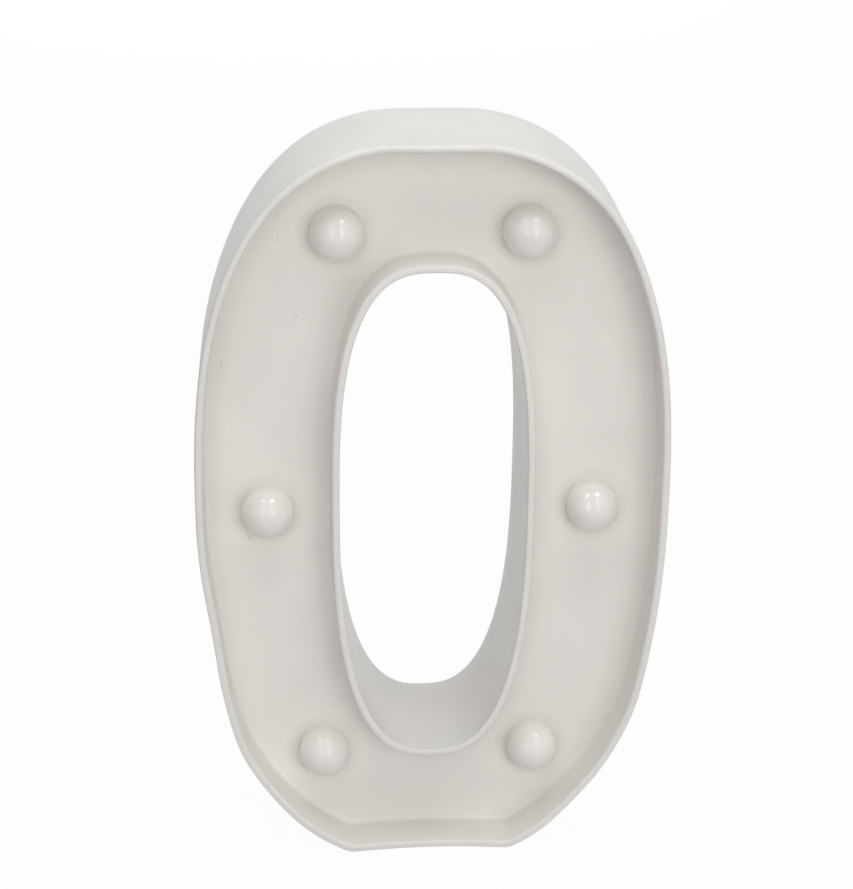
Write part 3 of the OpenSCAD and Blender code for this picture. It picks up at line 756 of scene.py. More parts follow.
def specks(finish, scale=260.0, size=0.06, rarity=0.9, strength=0.35):
    """Dark dots in a few cells of an even spread"""
    cells = {"Vector": finish.place, "Scale": scale}
    away = finish.node("ShaderNodeTexVoronoi", {}, cells, "Distance")
    centre = finish.node("ShaderNodeTexVoronoi", {}, cells, "Position")
    chosen = finish.node("ShaderNodeTexWhiteNoise", {"noise_dimensions": "3D"}, {"Vector": centre}, "Value")
    return (away < size) * (chosen > rarity) * strength


def hair_lines(finish, scale=70.0, width=0.0016, patch_scale=64.0, rarity=0.69, strength=0.22):
    """Thin dark lines that show in a few patches only"""
    line = abs(finish.noise(scale, detail=1.0) - 0.5) < width
    patch = finish.noise(patch_scale, detail=0.0) > rarity
    return line * patch * strength


def bulb_painted_shade(finish, bulbs, strength=0.17):
    """Painted shade round each bulb: the channel floor darkens towards the bulb's foot and fades out within a
    reach
    """
    places = [middle(node) for node in numbered("bulb_cap")]
    return sum(finish.round_about(place, bulbs.ball_radius, bulbs.painted_shade_reach) * strength for place in places)


def moulded_white(name, finishes, roughness, grain, gloss, bulbs=None):
    """White moulded plastic: faint clouds, a few specks and hair lines, painted shade round the bulbs, and a
    fine grain
    """
    finish = Finish(name)
    clouds = finish.noise(38.0, detail=3.0)
    clean = finish.shades(clouds, finishes.shell, dark=0.92, light=1.07)
    dirt_and_shade = specks(finish) + hair_lines(finish)
    # Painted shade round the bulbs darkens the channel floor in the same dark colour as the specks
    if bulbs:
        dirt_and_shade = dirt_and_shade + bulb_painted_shade(finish, bulbs)
    wear = finish.noise(140.0, detail=4.0)
    fine = finish.noise(2200.0, detail=2.0)
    return finish.surface(base_color=finish.between(dirt_and_shade, clean, opaque(finishes.dirt_and_shade)),
                          roughness=finish.about(roughness, (wear, 0.12)),
                          normal=finish.bump(fine * 0.6 + wear * 0.4, grain),
                          specular_ior_level=gloss)


def plain_plastic(name, shade, roughness, grain_scale, grain):
    """Plain moulded plastic with a spark-eroded grain and a little unevenness"""
    finish = Finish(name)
    clouds = finish.noise(60.0, detail=3.0)
    pits = finish.noise(grain_scale, detail=3.0)
    return finish.surface(base_color=finish.shades(clouds * 0.7 + pits * 0.3, shade, dark=0.93, light=1.05),
                          roughness=finish.about(roughness, (pits, 0.2)),
                          normal=finish.bump(pits, grain))


def metal(name, shade, roughness, stretch=EVEN):
    """Plain metal with faint dull patches and fine marks, which a stretch draws out into lines"""
    finish = Finish(name)
    lines = finish.noise(900.0, detail=2.0, stretch=stretch)
    patches = finish.noise(160.0, detail=3.0)
    return finish.surface(base_color=finish.shades(patches * 0.6 + lines * 0.4, shade, dark=0.86, light=1.1),
                          metallic=1.0,
                          roughness=finish.about(roughness, (patches, 0.2), (lines, 0.1)),
                          normal=finish.bump(lines, 0.004 * MM))


def insulation(name, shade):
    """Soft wire insulation, slightly glossy and faintly scuffed"""
    finish = Finish(name)
    scuffs = finish.noise(420.0, detail=3.0)
    return finish.surface(base_color=finish.shades(scuffs, shade, dark=0.85, light=1.2),
                          roughness=finish.about(0.42, (scuffs, 0.16)),
                          normal=finish.bump(scuffs, 0.02 * MM))


def lacquered_jacket(name, shade, roughness):
    """Lacquered film on a cell: smooth, with faint rub marks along its length"""
    finish = Finish(name)
    rubs = finish.noise(700.0, detail=2.0, stretch=(1.0, 1.0, 0.06))
    clouds = finish.noise(90.0, detail=2.0)
    return finish.surface(base_color=finish.shades(rubs * 0.5 + clouds * 0.5, shade, dark=0.88, light=1.16),
                          roughness=finish.about(roughness, (rubs, 0.16)),
                          coat_weight=0.25,
                          normal=finish.bump(clouds, 0.05 * MM))


def laminate(name, shade):
    """Brown paper laminate, mottled along its fibres"""
    finish = Finish(name)
    fibres = finish.noise(1500.0, detail=4.0, stretch=(0.15, 1.0, 1.0))
    return finish.surface(base_color=finish.shades(fibres, shade, dark=0.65, light=1.4),
                          roughness=finish.about(0.55, (fibres, 0.2)),
                          normal=finish.bump(fibres, 0.02 * MM))


def cast_resin(name, shade):
    """Clear cast resin with faint flow marks"""
    finish = Finish(name)
    flow = finish.noise(300.0, detail=2.0)
    return finish.surface(base_color=finish.shades(flow, shade, dark=0.96, light=1.02),
                          roughness=finish.about(0.07, (flow, 0.06)),
                          transmission_weight=0.85,
                          ior=1.52,
                          normal=finish.bump(flow, 0.02 * MM))


# Painted bands of the resistor, each from its place along the body
BAND_SHARE = 0.09
BAND_PAINTS = (
    (0.16, (0.45, 0.13, 0.02)),
    (0.34, (0.45, 0.13, 0.02)),
    (0.52, (0.12, 0.04, 0.015)),
    (0.78, (0.42, 0.28, 0.07)),
)


def banded_lacquer(name, shade, low, high):
    """Lacquered resistor with painted bands between two heights"""
    finish = Finish(name)
    share = (finish.heights() - low) / (high - low)
    stops = [(0.0, opaque(shade))]
    for place, paint in BAND_PAINTS:
        stops += [(place, opaque(paint)), (place + BAND_SHARE, opaque(shade))]
    grain = finish.noise(900.0, detail=2.0)
    bands = finish.ramp(share, stops)
    return finish.surface(base_color=finish.between(grain * 0.25, bands, opaque(shade, 0.6)),
                          roughness=finish.about(0.375, (grain, 0.15)),
                          normal=finish.bump(grain, 0.02 * MM))


def milky_plastic(name, shade):
    """Milky bulb plastic: glossy, a little light passes into it, faintly uneven"""
    finish = Finish(name)
    clouds = finish.noise(90.0, detail=2.0)
    waves = finish.noise(180.0, detail=1.0)
    return finish.surface(base_color=finish.shades(clouds, shade, dark=0.975, light=1.015),
                          roughness=finish.about(0.095, (waves, 0.05)),
                          normal=finish.bump(waves, 0.04 * MM),
                          subsurface_weight=0.4,
                          subsurface_radius=(1.0, 0.95, 0.9),
                          subsurface_scale=2.5 * MM)


# Geometry node trees

SCATTER_SEED = 3
TUBE_SIDES = 14
COIL_SIDES = 12
COIL_STEPS = 40


def new_tree(name, sockets):
    """An empty geometry tree with named inputs, and those inputs by name"""
    tree = bpy.data.node_groups.new(name, "GeometryNodeTree")
    for label, kind in sockets.items():
        tree.interface.new_socket(label, in_out="INPUT", socket_type=f"NodeSocket{kind}")
    tree.interface.new_socket("Geometry", in_out="OUTPUT", socket_type="NodeSocketGeometry")
    return tree, tree.nodes.new("NodeGroupInput").outputs


def close_tree(tree, geometry, material):
    """Realizes what a tree has made and gives it its material"""
    real = add_node(tree, "GeometryNodeRealizeInstances", {}, {"Geometry": geometry}).outputs[0]
    last = add_node(tree, "GeometryNodeSetMaterial", {}, {"Geometry": real, "Material": material}).outputs[0]
    add_node(tree, "NodeGroupOutput", {}, {0: last})
    return tree


def scatter_tree():
    """Puts a pattern on every point, each turned at random about its own y axis, up to a given turn"""
    tree, given = new_tree("Pattern on points", {"Points": "Geometry", "Pattern": "Object", "Turn": "Float",
                                                 "Seed": "Int", "Material": "Material"})
    pattern = add_node(tree, "GeometryNodeObjectInfo", {}, {"Object": given["Pattern"]}).outputs["Geometry"]
    turn = add_node(tree, "FunctionNodeRandomValue", {"data_type": "FLOAT"},
                    {2: 0.0, 3: given["Turn"], "Seed": given["Seed"]}).outputs[1]
    spin = add_node(tree, "ShaderNodeCombineXYZ", {}, {"Y": turn}).outputs[0]
    placed = add_node(tree, "GeometryNodeInstanceOnPoints", {},
                      {"Points": given["Points"], "Instance": pattern, "Rotation": spin}).outputs[0]
    return close_tree(tree, placed, given["Material"])


def tube(tree, paths, given):
    """Curves given a round section, with closed ends"""
    ring = add_node(tree, "GeometryNodeCurvePrimitiveCircle", {},
                    {"Resolution": given["Sides"], "Radius": given["Radius"]}).outputs[0]
    return add_node(tree, "GeometryNodeCurveToMesh", {},
                    {"Curve": paths, "Profile Curve": ring, "Fill Caps": True}).outputs[0]


def tube_tree():
    """Draws a round tube along every path of edges"""
    tree, given = new_tree("Tube on paths", {"Paths": "Geometry", "Radius": "Float", "Sides": "Int",
                                             "Material": "Material"})
    paths = add_node(tree, "GeometryNodeMeshToCurve", {}, {"Mesh": given["Paths"]}).outputs[0]
    return close_tree(tree, tube(tree, paths, given), given["Material"])


def coil_tree():
    """Winds a cone spring upwards from the origin"""
    tree, given = new_tree("Cone spring", {"Points": "Geometry", "Turns": "Float", "Foot radius": "Float",
                                           "Tip radius": "Float", "Height": "Float", "Radius": "Float",
                                           "Sides": "Int", "Material": "Material"})
    coil = add_node(tree, "GeometryNodeCurveSpiral", {},
                    {"Resolution": COIL_STEPS, "Rotations": given["Turns"], "Height": given["Height"],
                     "Start Radius": given["Foot radius"], "End Radius": given["Tip radius"]}).outputs[0]
    return close_tree(tree, tube(tree, coil, given), given["Material"])


def grown(tree, points, values, edges=()):
    """The plain mesh that a tree makes from points and edges"""
    start = bpy.data.meshes.new("points")
    start.from_pydata(points, edges, [])
    holder = bpy.data.objects.new("holder", start)
    bpy.context.scene.collection.objects.link(holder)
    modifier = holder.modifiers.new("Nodes", "NODES")
    modifier.node_group = tree
    for item in tree.interface.items_tree:
        if item.in_out == "INPUT" and item.name in values:
            modifier[item.identifier] = values[item.name]
    graph = bpy.context.evaluated_depsgraph_get()
    result = bpy.data.meshes.new_from_object(holder.evaluated_get(graph))
    bpy.data.objects.remove(holder)
    return smoothed(result)


def scattered(data, points, material, turn=0.0):
    """One mesh with a copy of a pattern at every point"""
    pattern = bpy.data.objects.new("pattern", data)
    bpy.context.scene.collection.objects.link(pattern)
    values = {"Pattern": pattern, "Turn": turn, "Seed": SCATTER_SEED, "Material": material}
    result = grown(scatter_tree(), points, values)
    bpy.data.objects.remove(pattern)
    return result


def tubes(paths, radius, material):
    """One mesh with a round tube along each path"""
    points = [point for path in paths for point in path]
    edges = []
    first = 0
    for path in paths:
        edges += [(first + i, first + i + 1) for i in range(len(path) - 1)]
        first += len(path)
    return grown(tube_tree(), points, {"Radius": radius, "Sides": TUBE_SIDES, "Material": material}, edges)


# Small parts

# The middle of the stroke, as a share of the way from the hole to the outside
MID_STROKE = 0.5


def bulb_places(bulbs):
    """Angle and place across the stroke of each bulb"""
    right = [
        (bulbs.lower_angle, bulbs.lower_share),
        (bulbs.middle_angle, MID_STROKE),
        (bulbs.upper_angle, MID_STROKE),
    ]
    return right + [(math.pi - turn, share) for turn, share in right[::-1]]


def screw_points(scene):
    """Places of the seven cover screws, in the plane y = 0"""
    outline = Outline(scene.digit_body)
    screws = scene.digit_screws
    low, level = bulb_places(scene.digit_bulbs)[:2]
    low_screw = [mix(a, b, screws.low_place) for a, b in zip(low, level)]
    right = [low_screw, (screws.high_angle, MID_STROKE), (screws.top_angle, screws.top_share)]
    places = [(-math.pi / 2, MID_STROKE)] + right + [(math.pi - turn, share) for turn, share in right]
    return [outline.at(outline.across(turn, share), turn) for turn, share in places]


def pan_screw(screws, head, head_height, shank, screw_length):
    """A pan-head screw that is seated on y = 0 and faces the back, with a cross recess"""
    shoulder = screws.shoulder * head_height
    dome = [(head * out, mix(shoulder, head_height, up)) for up, out in arc(0, 0, 1, start=0, steps=8)]
    rest = [(head, 0), (shank, 0), (shank, shank - screw_length), (0, -screw_length)]
    data = finished(turned(dome + rest, steps=40), "screw")
    arm = screws.recess_arm * head
    half = screws.recess_half * head
    for reach_x, reach_z in ((arm, half), (half, arm)):
        recess = rounded_block((-reach_x, shoulder, -reach_z), (reach_x, 2 * head_height, reach_z), half / 3)
        data = cut(data, finished(recess, "recess"))
    return data


WIRE_STEPS = 32


def curve(a, b, c, d):
    """Points along a smooth curve from a to d, drawn towards b and c"""
    path = []
    for i in range(WIRE_STEPS + 1):
        t = i / WIRE_STEPS
        s = 1 - t
        path.append(s * s * s * a + 3 * s * s * t * b + 3 * s * t * t * c + t * t * t * d)
    return path


# Operators, one for each piece or group of like pieces

class DIGIT_OT_shell(bpy.types.Operator):
    """Make the white moulded shell with its channel and screw posts"""
    bl_idname = "digit.shell"
    bl_label = "Shell"

    def execute(self, context):
        body = context.scene.digit_body
        bulbs = context.scene.digit_bulbs
        finishes = context.scene.digit_finishes
        walls = cut(self.walls(body), self.bulb_holes(body, bulbs))
        matt = moulded_white("shell_white", finishes, roughness=0.5, grain=0.05 * MM, gloss=0.35, bulbs=bulbs)
        glossy = moulded_white("shell_outside", finishes, roughness=0.36, grain=0.03 * MM, gloss=0.4)
        posts = scattered(self.post(body), screw_points(context.scene), matt)
        data = painted(joined([walls, posts], "shell"), matt, glossy)
        dressed("shell", data, "casing", "shell_white", "front_shell")
        return {"FINISHED"}

    @staticmethod
    def walls(body):
        """Both walls and the channel floor, swept once round the digit, matt (0) or glossy outside (1)"""
        outline = Outline(body)
        section = shell_section(body, math.pi / 2)
        outside = [inset <= body.lip_top for share, inset, y in section]
        marks = [int(here and after) for here, after in zip(outside, outside[1:] + outside[:1])]
        inner = [not outer and y >= floor_back(body) for outer, (share, inset, y) in zip(outside, section)]
        mesh = bmesh.new()
        rings = []
        for turn in outline.turns():
            points = [settled(outline.point(turn, *row), row[0], hidden, body)
                      for row, hidden in zip(shell_section(body, turn), inner)]
            rings.append([mesh.verts.new(point) for point in points])
        for here, there in zip(rings, rings[1:] + rings[:1]):
            add_ring_faces(mesh, here, there, marks)
        # The lowest points are set on the ground
        lowest = min(vert.co.z for vert in mesh.verts)
        for vert in mesh.verts:
            vert.co.z -= lowest * max(1 - vert.co.z / body.base_stroke, 0.0)
        return finished(mesh, "walls")

    @staticmethod
    def post(body):
        """A screw post behind the channel floor, hollow over half its length"""
        foot = floor_front(body) + body.floor_thickness / 2
        tip = COVER_BACK - body.cover_thickness
        bottom = (foot + tip) / 2
        radius = body.post_radius
        hole = body.post_hole
        profile = [(0, foot), (radius, foot), (radius, tip), (hole, tip), (hole, bottom), (0, bottom)]
        return finished(turned(profile, steps=40), "post")

    @staticmethod
    def bulb_holes(body, bulbs):
        """Rods that open the channel floor for the bulbs"""
        radius = bulbs.ball_radius - bulbs.bite
        front = floor_front(body) - body.wall / 2
        back = floor_back(body) + body.wall / 2
        rods = []
        for node in numbered("bulb_cap"):
            place = middle(node)
            rod = turned([(0, front), (radius, front), (radius, back), (0, back)])
            bmesh.ops.translate(rod, verts=rod.verts, vec=(place.x, 0, place.z))
            rods.append(finished(rod, "rod"))
        return joined(rods, "bulb_holes")


class DIGIT_OT_bulbs(bpy.types.Operator):
    """Make the six milky bulbs"""
    bl_idname = "digit.bulbs"
    bl_label = "Bulbs"

    def execute(self, context):
        bulbs = context.scene.digit_bulbs
        nodes = numbered("bulb_cap")
        points = []
        for node in nodes:
            place = middle(node)
            points.append((place.x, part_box(node)[0].y + bulbs.ball_radius, place.z))
        material = milky_plastic("bulb_white", context.scene.digit_finishes.bulb)
        bulb = finished(self.bulb(bulbs), "bulb", SHARP_ON_BULB)
        dressed("bulbs", scattered(bulb, points, material, 2 * math.pi), "casing", "bulb_white", *nodes)
        return {"FINISHED"}

    @staticmethod
    def bulb(bulbs):
        """Half a ball on a neck, hollow, with a flange, about the centre of its ball"""
        low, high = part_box("bulb_cap_1")
        radius = bulbs.ball_radius
        inside = radius - bulbs.wall
        flange = (high.x - low.x) / 2
        behind = high.y - low.y - radius
        flange_front = behind - bulbs.flange_thickness
        outer = arc(0, 0, radius, start=-90, steps=20)
        rim = [(radius, flange_front), (flange, flange_front), (flange, behind), (inside, behind)]
        inner = arc(0, 0, inside, start=0, steps=10, sweep=-90)
        return turned(outer + rim + inner, steps=96)


class DIGIT_OT_cover(bpy.types.Operator):
    """Make the back cover and the battery door with its grip ribs"""
    bl_idname = "digit.cover"
    bl_label = "Back cover and door"

    def execute(self, context):
        door = context.scene.digit_door
        shade = context.scene.digit_finishes.cover
        matt = plain_plastic("cover_white", shade, roughness=0.55, grain_scale=1600.0, grain=0.06 * MM)
        cover = painted(softened("back_cover", door.softness, on_back), matt)
        dressed("cover", cover, "casing", "cover_white", "back_cover")
        smooth = plain_plastic("door_white", shade, roughness=0.45, grain_scale=2400.0, grain=0.03 * MM)
        panel = painted(softened("battery_door", door.softness, on_back), smooth)
        dressed("door", panel, "door", "cover_white", "battery_door")
        dressed("door_ribs", self.ribs(door, smooth), "door", "cover_white")
        return {"FINISHED"}

    @staticmethod
    def ribs(door, material):
        """Ribs across the lower end of the door, sunk in by half their width"""
        half = Vector((door.rib_length, 0, door.rib_width)) / 2
        low = -half - Vector((0, door.rib_width / 2, 0))
        high = half + Vector((0, door.rib_height, 0))
        rib = finished(rounded_block(low, high, door.rib_rounding, segments=3), "rib")
        place = middle("battery_door")
        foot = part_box("battery_door")[0].z + door.rib_low
        points = [(place.x, COVER_BACK, foot + i * door.rib_step) for i in range(door.rib_count)]
        return scattered(rib, points, material)


class DIGIT_OT_screws(bpy.types.Operator):
    """Make the screws of the cover and of the switch"""
    bl_idname = "digit.screws"
    bl_label = "Screws"

    def execute(self, context):
        zinc = metal("screw_steel", context.scene.digit_finishes.zinc, roughness=0.34)
        groups = {"cover_screws": self.cover_screws, "switch_screws": self.switch_screws}
        for node, group in groups.items():
            screw, points = group(context.scene)
            data = scattered(screw, points, zinc, 2 * math.pi)
            dressed(f"{node}.seen", data, "casing", "screw_steel", node)
        return {"FINISHED"}

    @staticmethod
    def cover_screws(scene):
        """A cover screw, and the places of all"""
        screws = scene.digit_screws
        screw_length = COVER_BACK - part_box("cover_screws")[0].y
        screw = pan_screw(screws, screws.head_radius, screws.head_height, screws.shank_radius, screw_length)
        return screw, [point + Vector((0, COVER_BACK, 0)) for point in screw_points(scene)]

    @staticmethod
    def switch_screws(scene):
        """A switch screw, which faces the front, and the places of both"""
        screws = scene.digit_screws
        low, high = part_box("switch_screws")
        place = middle("switch_screws")
        seat = low.y + screws.switch_head_height
        screw = pan_screw(screws, screws.switch_head, screws.switch_head_height, screws.switch_shank,
                          high.y - seat)
        screw.transform(Matrix.Rotation(math.pi, 4, "X"))
        return screw, [(place.x + side * screws.switch_spacing / 2, seat, place.z) for side in (-1, 1)]


class DIGIT_OT_switch(bpy.types.Operator):
    """Make the switch's knob, and finish its frame, board and terminals"""
    bl_idname = "digit.switch"
    bl_label = "Switch"

    def execute(self, context):
        finishes = context.scene.digit_finishes
        sheet = metal("switch_steel", finishes.sheet, roughness=0.38, stretch=(0.05, 1.0, 1.0))
        paint_nodes(sheet, "switch_frame")
        paint_nodes(laminate("switch_board", finishes.board), "switch_base")
        tin = metal("terminal_tin", finishes.tin, roughness=0.4, stretch=(1.0, 0.1, 1.0))
        paint_nodes(tin, "switch_terminals")
        black = plain_plastic("switch_black", finishes.black, roughness=0.42, grain_scale=2000.0,
                              grain=0.04 * MM)
        data = painted(self.knob(context.scene.digit_knob), black)
        dressed("knob", data, "slider", "switch_black", "switch_slider")
        return {"FINISHED"}

    @staticmethod
    def knob(sizes):
        """A carriage inside the can, and a knob with ridges across its travel"""
        low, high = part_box("switch_slider")
        place = middle("switch_slider")
        can_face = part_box("switch_frame")[1].y
        carriage = rounded_block(low, (high.x, can_face - sizes.carriage_depth, high.z), sizes.rounding)
        half = Vector((sizes.knob_length, 0, sizes.knob_width)) / 2
        foot = Vector((place.x, low.y, place.z))
        tip = Vector((place.x, high.y - sizes.ridge_height, place.z))
        stem = rounded_block(foot - half, tip + half, sizes.rounding)
        ridge_half = Vector((sizes.ridge_width, 0, sizes.ridge_length)) / 2
        ridge = rounded_block(-ridge_half - Vector((0, sizes.ridge_sink, 0)),
                              ridge_half + Vector((0, sizes.ridge_height, 0)), sizes.ridge_rounding)
        first = -(sizes.ridge_count - 1) / 2
        points = [tip + Vector(((first + i) * sizes.ridge_step, 0, 0)) for i in range(sizes.ridge_count)]
        ridges = scattered(finished(ridge, "ridge"), points, None)
        return joined([finished(carriage, "carriage"), finished(stem, "stem"), ridges], "knob")


class DIGIT_OT_cells(bpy.types.Operator):
    """Make the two battery cells"""
    bl_idname = "digit.cells"
    bl_label = "Cells"

    # Material numbers along a cell
    JACKET = 0
    BAND = 1
    STEEL = 2

    def execute(self, context):
        finishes = context.scene.digit_finishes
        jacket = lacquered_jacket("cell_jacket", finishes.jacket, roughness=0.34)
        band = lacquered_jacket("cell_band", finishes.band, roughness=0.38)
        steel = metal("cell_steel", finishes.nickel, roughness=0.36)
        for node, upright in (("battery_cell_1", True), ("battery_cell_2", False)):
            low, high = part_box(node)
            place = middle(node)
            foot = (place.x, place.y, low.z if upright else high.z)
            profile, marks = self.section(context.scene.digit_power, (high.x - low.x) / 2, high.z - low.z)
            data = finished(stood(turned(profile, steps=64, marks=marks), foot, upright), node)
            dressed(f"{node}.seen", painted(data, jacket, band, steel), "casing", "cell_jacket", node)
        return {"FINISHED"}

    def section(self, power, radius, cell_length):
        """Half section of a cell from foot to nub, and the material number of each step"""
        fold = power.cell_fold
        sink = power.cell_sink
        nub = power.nub_radius
        lip = radius - 2 * fold
        top = cell_length - power.nub_height
        foot = [(0, 0), (lip - sink, 0)]
        jacket = [(lip, sink), (lip + sink, sink)]
        jacket += arc(radius - fold, fold, fold, start=-90, steps=6)
        band = [(radius, top - power.band)]
        band += arc(radius - fold, top - fold, fold, start=0, steps=6)
        crown = [(lip, top), (lip - sink, top - sink), (nub + fold, top - sink), (nub, top)]
        crown += arc(nub - fold / 2, cell_length - fold / 2, fold / 2, start=0, steps=4)
        crown += [(0, cell_length)]
        stretches = ((foot, self.STEEL), (jacket, self.JACKET), (band, self.BAND), (crown, self.STEEL))
        marks = [mark for rows, mark in stretches for row in rows]
        return foot + jacket + band + crown, marks


class DIGIT_OT_contacts(bpy.types.Operator):
    """Make the contact springs, and finish the contact plates"""
    bl_idname = "digit.contacts"
    bl_label = "Contacts"

    def execute(self, context):
        power = context.scene.digit_power
        wire = power.spring_wire
        shade = context.scene.digit_finishes.nickel
        nickel = metal("contact_steel", shade, roughness=0.3, stretch=(1.0, 0.06, 1.0))
        paint_nodes(nickel, "contact_bridge", "contact_positive", "contact_negative")
        for node, upright in (("contact_spring_1", True), ("contact_spring_2", False)):
            low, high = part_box(node)
            place = middle(node)
            values = {"Turns": power.spring_turns, "Foot radius": (high.x - low.x) / 2 - wire,
                      "Tip radius": power.spring_tip, "Height": high.z - low.z - 2 * wire, "Radius": wire,
                      "Sides": COIL_SIDES, "Material": nickel}
            data = grown(coil_tree(), [(0, 0, 0)], values)
            foot = low.z + wire if upright else high.z - wire
            flip = Matrix.Rotation(0 if upright else math.pi, 4, "X")
            data.transform(Matrix.Translation((place.x, place.y, foot)) @ flip)
            dressed(f"{node}.seen", data, "casing", "contact_steel", node)
        return {"FINISHED"}


class DIGIT_OT_wiring(bpy.types.Operator):
    """Make the wires with their solder joints, and the resistor"""
    bl_idname = "digit.wiring"
    bl_label = "Wiring"

    # Material numbers along the resistor, and the steps of its body
    LACQUER = 0
    TIN = 1
    BODY_STEPS = 24

    def execute(self, context):
        power = context.scene.digit_power
        finishes = context.scene.digit_finishes
        red, black = self.routes(context.scene)
        wires = {"wire_red": (red, finishes.red_wire), "wire_black": (black, finishes.black_wire)}
        for node, (paths, shade) in wires.items():
            data = tubes(paths, power.wire_radius, insulation(node, shade))
            dressed(f"{node}.seen", data, "casing", node, node)
        tin = metal("lead_metal", finishes.tin, roughness=0.4)
        drop_radius = power.solder_share * power.wire_radius
        drop = turned(arc(0, 0, drop_radius, start=-90, steps=8, sweep=180), steps=16)
        ends = [end for path in red + black for end in (path[0], path[-1])]
        dressed("solder", scattered(finished(drop, "solder"), ends, tin), "casing", "lead_metal")
        low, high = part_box("resistor")
        lacquer = banded_lacquer("resistor_body", finishes.resistor, low.z + power.resistor_lead,
                                 high.z - power.resistor_lead)
        resistor = painted(self.resistor(power, low, high), lacquer, tin)
        dressed("resistor.seen", resistor, "casing", "resistor_body", "resistor")
        return {"FINISHED"}

    def routes(self, scene):
        """Paths of the red and of the black wires"""
        power = scene.digit_power
        gap = power.joint_gap
        outline = Outline(scene.digit_body)
        places = bulb_places(scene.digit_bulbs)
        wire_y = middle("lamp_leads_1").y
        links = {side: [self.link(outline, power, here, there, side, wire_y)
                        for here, there in zip(places, places[1:])] for side in (1, -1)}
        tabs = []
        for node in ("contact_positive", "contact_negative"):
            place = middle(node)
            tabs.append(Vector((place.x, place.y - power.tab_offset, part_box(node)[0].z - gap)))
        positive, negative = tabs
        terminals = middle("switch_terminals")
        to_switch = Vector((terminals.x, terminals.y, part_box("switch_terminals")[1].z + gap))
        reach = Vector((0, 0, (positive.z - to_switch.z) / 2))
        resistor = middle("resistor")
        from_resistor = Vector((resistor.x, resistor.y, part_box("resistor")[0].z - gap))
        red = links[1] + [curve(positive, positive - reach, to_switch + reach, to_switch),
                          self.feed(outline, power, from_resistor, places[0], 1, wire_y)]
        black = links[-1] + [self.feed(outline, power, negative, places[0], -1, wire_y)]
        return red, black

    @staticmethod
    def link(outline, power, first, last, side, y):
        """From one lamp to the next, bowed to the outer (1) or inner (-1) side of the stroke"""
        step = power.lead_width / 2 + power.joint_gap
        start = first[0] + step / outline.across(*first)
        end = last[0] - step / outline.across(*last)
        path = []
        for i in range(WIRE_STEPS + 1):
            share = i / WIRE_STEPS
            turn = mix(start, end, share)
            bow = side * (power.lead_spacing / 2 + power.wire_bow * math.sin(math.pi * share))
            path.append(outline.at(outline.across(turn, mix(first[1], last[1], share)) + bow, turn, y))
        return path

    @staticmethod
    def feed(outline, power, start, lamp, side, y):
        """From a tab or the resistor to a lead of the first lamp, round behind the lamp"""
        turn = lamp[0]
        away = Vector((math.sin(turn), 0, -math.cos(turn)))
        lead = outline.at(outline.across(*lamp) + side * power.lead_spacing / 2, turn, y)
        end = lead + (power.lead_width / 2 + power.joint_gap) * away
        bow = power.wire_bow
        leaving = start + bow * Vector((side, 0, -power.feed_fall))
        arriving = end + bow * (power.feed_swing * away + Vector((0, 1, 0)))
        return curve(start, leaving, arriving, end)

    def resistor(self, power, low, high):
        """A waisted body with rounded ends on two thin leads"""
        lead = power.resistor_lead_radius
        radius = (high.x - low.x) / 2
        start = power.resistor_lead
        whole = high.z - low.z
        body = []
        for i in range(self.BODY_STEPS + 1):
            share = i / self.BODY_STEPS
            swell = mix(power.resistor_waist, 1.0, (2 * share - 1) ** 2)
            end = min(min(share, 1 - share) / power.resistor_end, 1.0)
            swell *= math.sqrt(1 - (1 - end) ** 2)
            body.append((max(radius * swell, lead), mix(start, whole - start, share)))
        profile = [(0, 0), (lead, 0)] + body + [(lead, whole), (0, whole)]
        marks = [self.TIN] * 2 + [self.LACQUER] * self.BODY_STEPS + [self.TIN] * 3
        place = ((low.x + high.x) / 2, (low.y + high.y) / 2, low.z)
        return finished(stood(turned(profile, steps=24, marks=marks), place), "resistor")


class DIGIT_OT_lamps(bpy.types.Operator):
    """Finish the lamps, their holders and their leads"""
    bl_idname = "digit.lamps"
    bl_label = "Lamps"

    def execute(self, context):
        finishes = context.scene.digit_finishes
        holder = plain_plastic("holder_white", finishes.holder, roughness=0.5, grain_scale=1800.0,
                               grain=0.04 * MM)
        paint_nodes(holder, *numbered("lamp_holder"))
        paint_nodes(cast_resin("lamp_clear", finishes.lamp), *numbered("lamp"))
        tin = metal("lamp_lead_tin", finishes.tin, roughness=0.38, stretch=(1.0, 0.05, 1.0))
        paint_nodes(tin, *numbered("lamp_leads"))
        return {"FINISHED"}


WHITE = (1.0, 1.0, 1.0, 1.0)
WARM = (1.0, 0.97, 0.94)
COOL = (0.96, 1.0, 0.99)

# Soft lamps that light the digit: name, place, width, height, power in watts and tint
LAMPS = (
    ("overhead", (0.03, -0.13, 1.2), 0.8, 0.8, 7.0, COOL),
    ("front_right", (0.58, -1.0, 0.25), 0.6, 0.6, 2.5, WARM),
    ("front_fill", (-0.05, -1.15, 0.6), 1.2, 0.9, 6.1, WARM),
    ("back_fill", (0.0, 1.6, 0.25), 0.5, 0.4, 11.0, WARM),
)

# Lamps that only show as reflections in the bulbs, with the same columns
REFLECTIONS = (
    ("window_left", (-0.4, -0.21, 1.0), 0.3, 0.3, 1.5, WARM),
    ("window_right", (0.28, -0.29, 1.03), 0.3, 0.3, 2.2, WARM),
    ("strip_left", (-0.42, -0.86, 0.43), 0.24, 0.75, 1.3, WARM),
    ("strip_right", (0.31, -0.88, 0.5), 0.24, 0.75, 1.6, WARM),
)


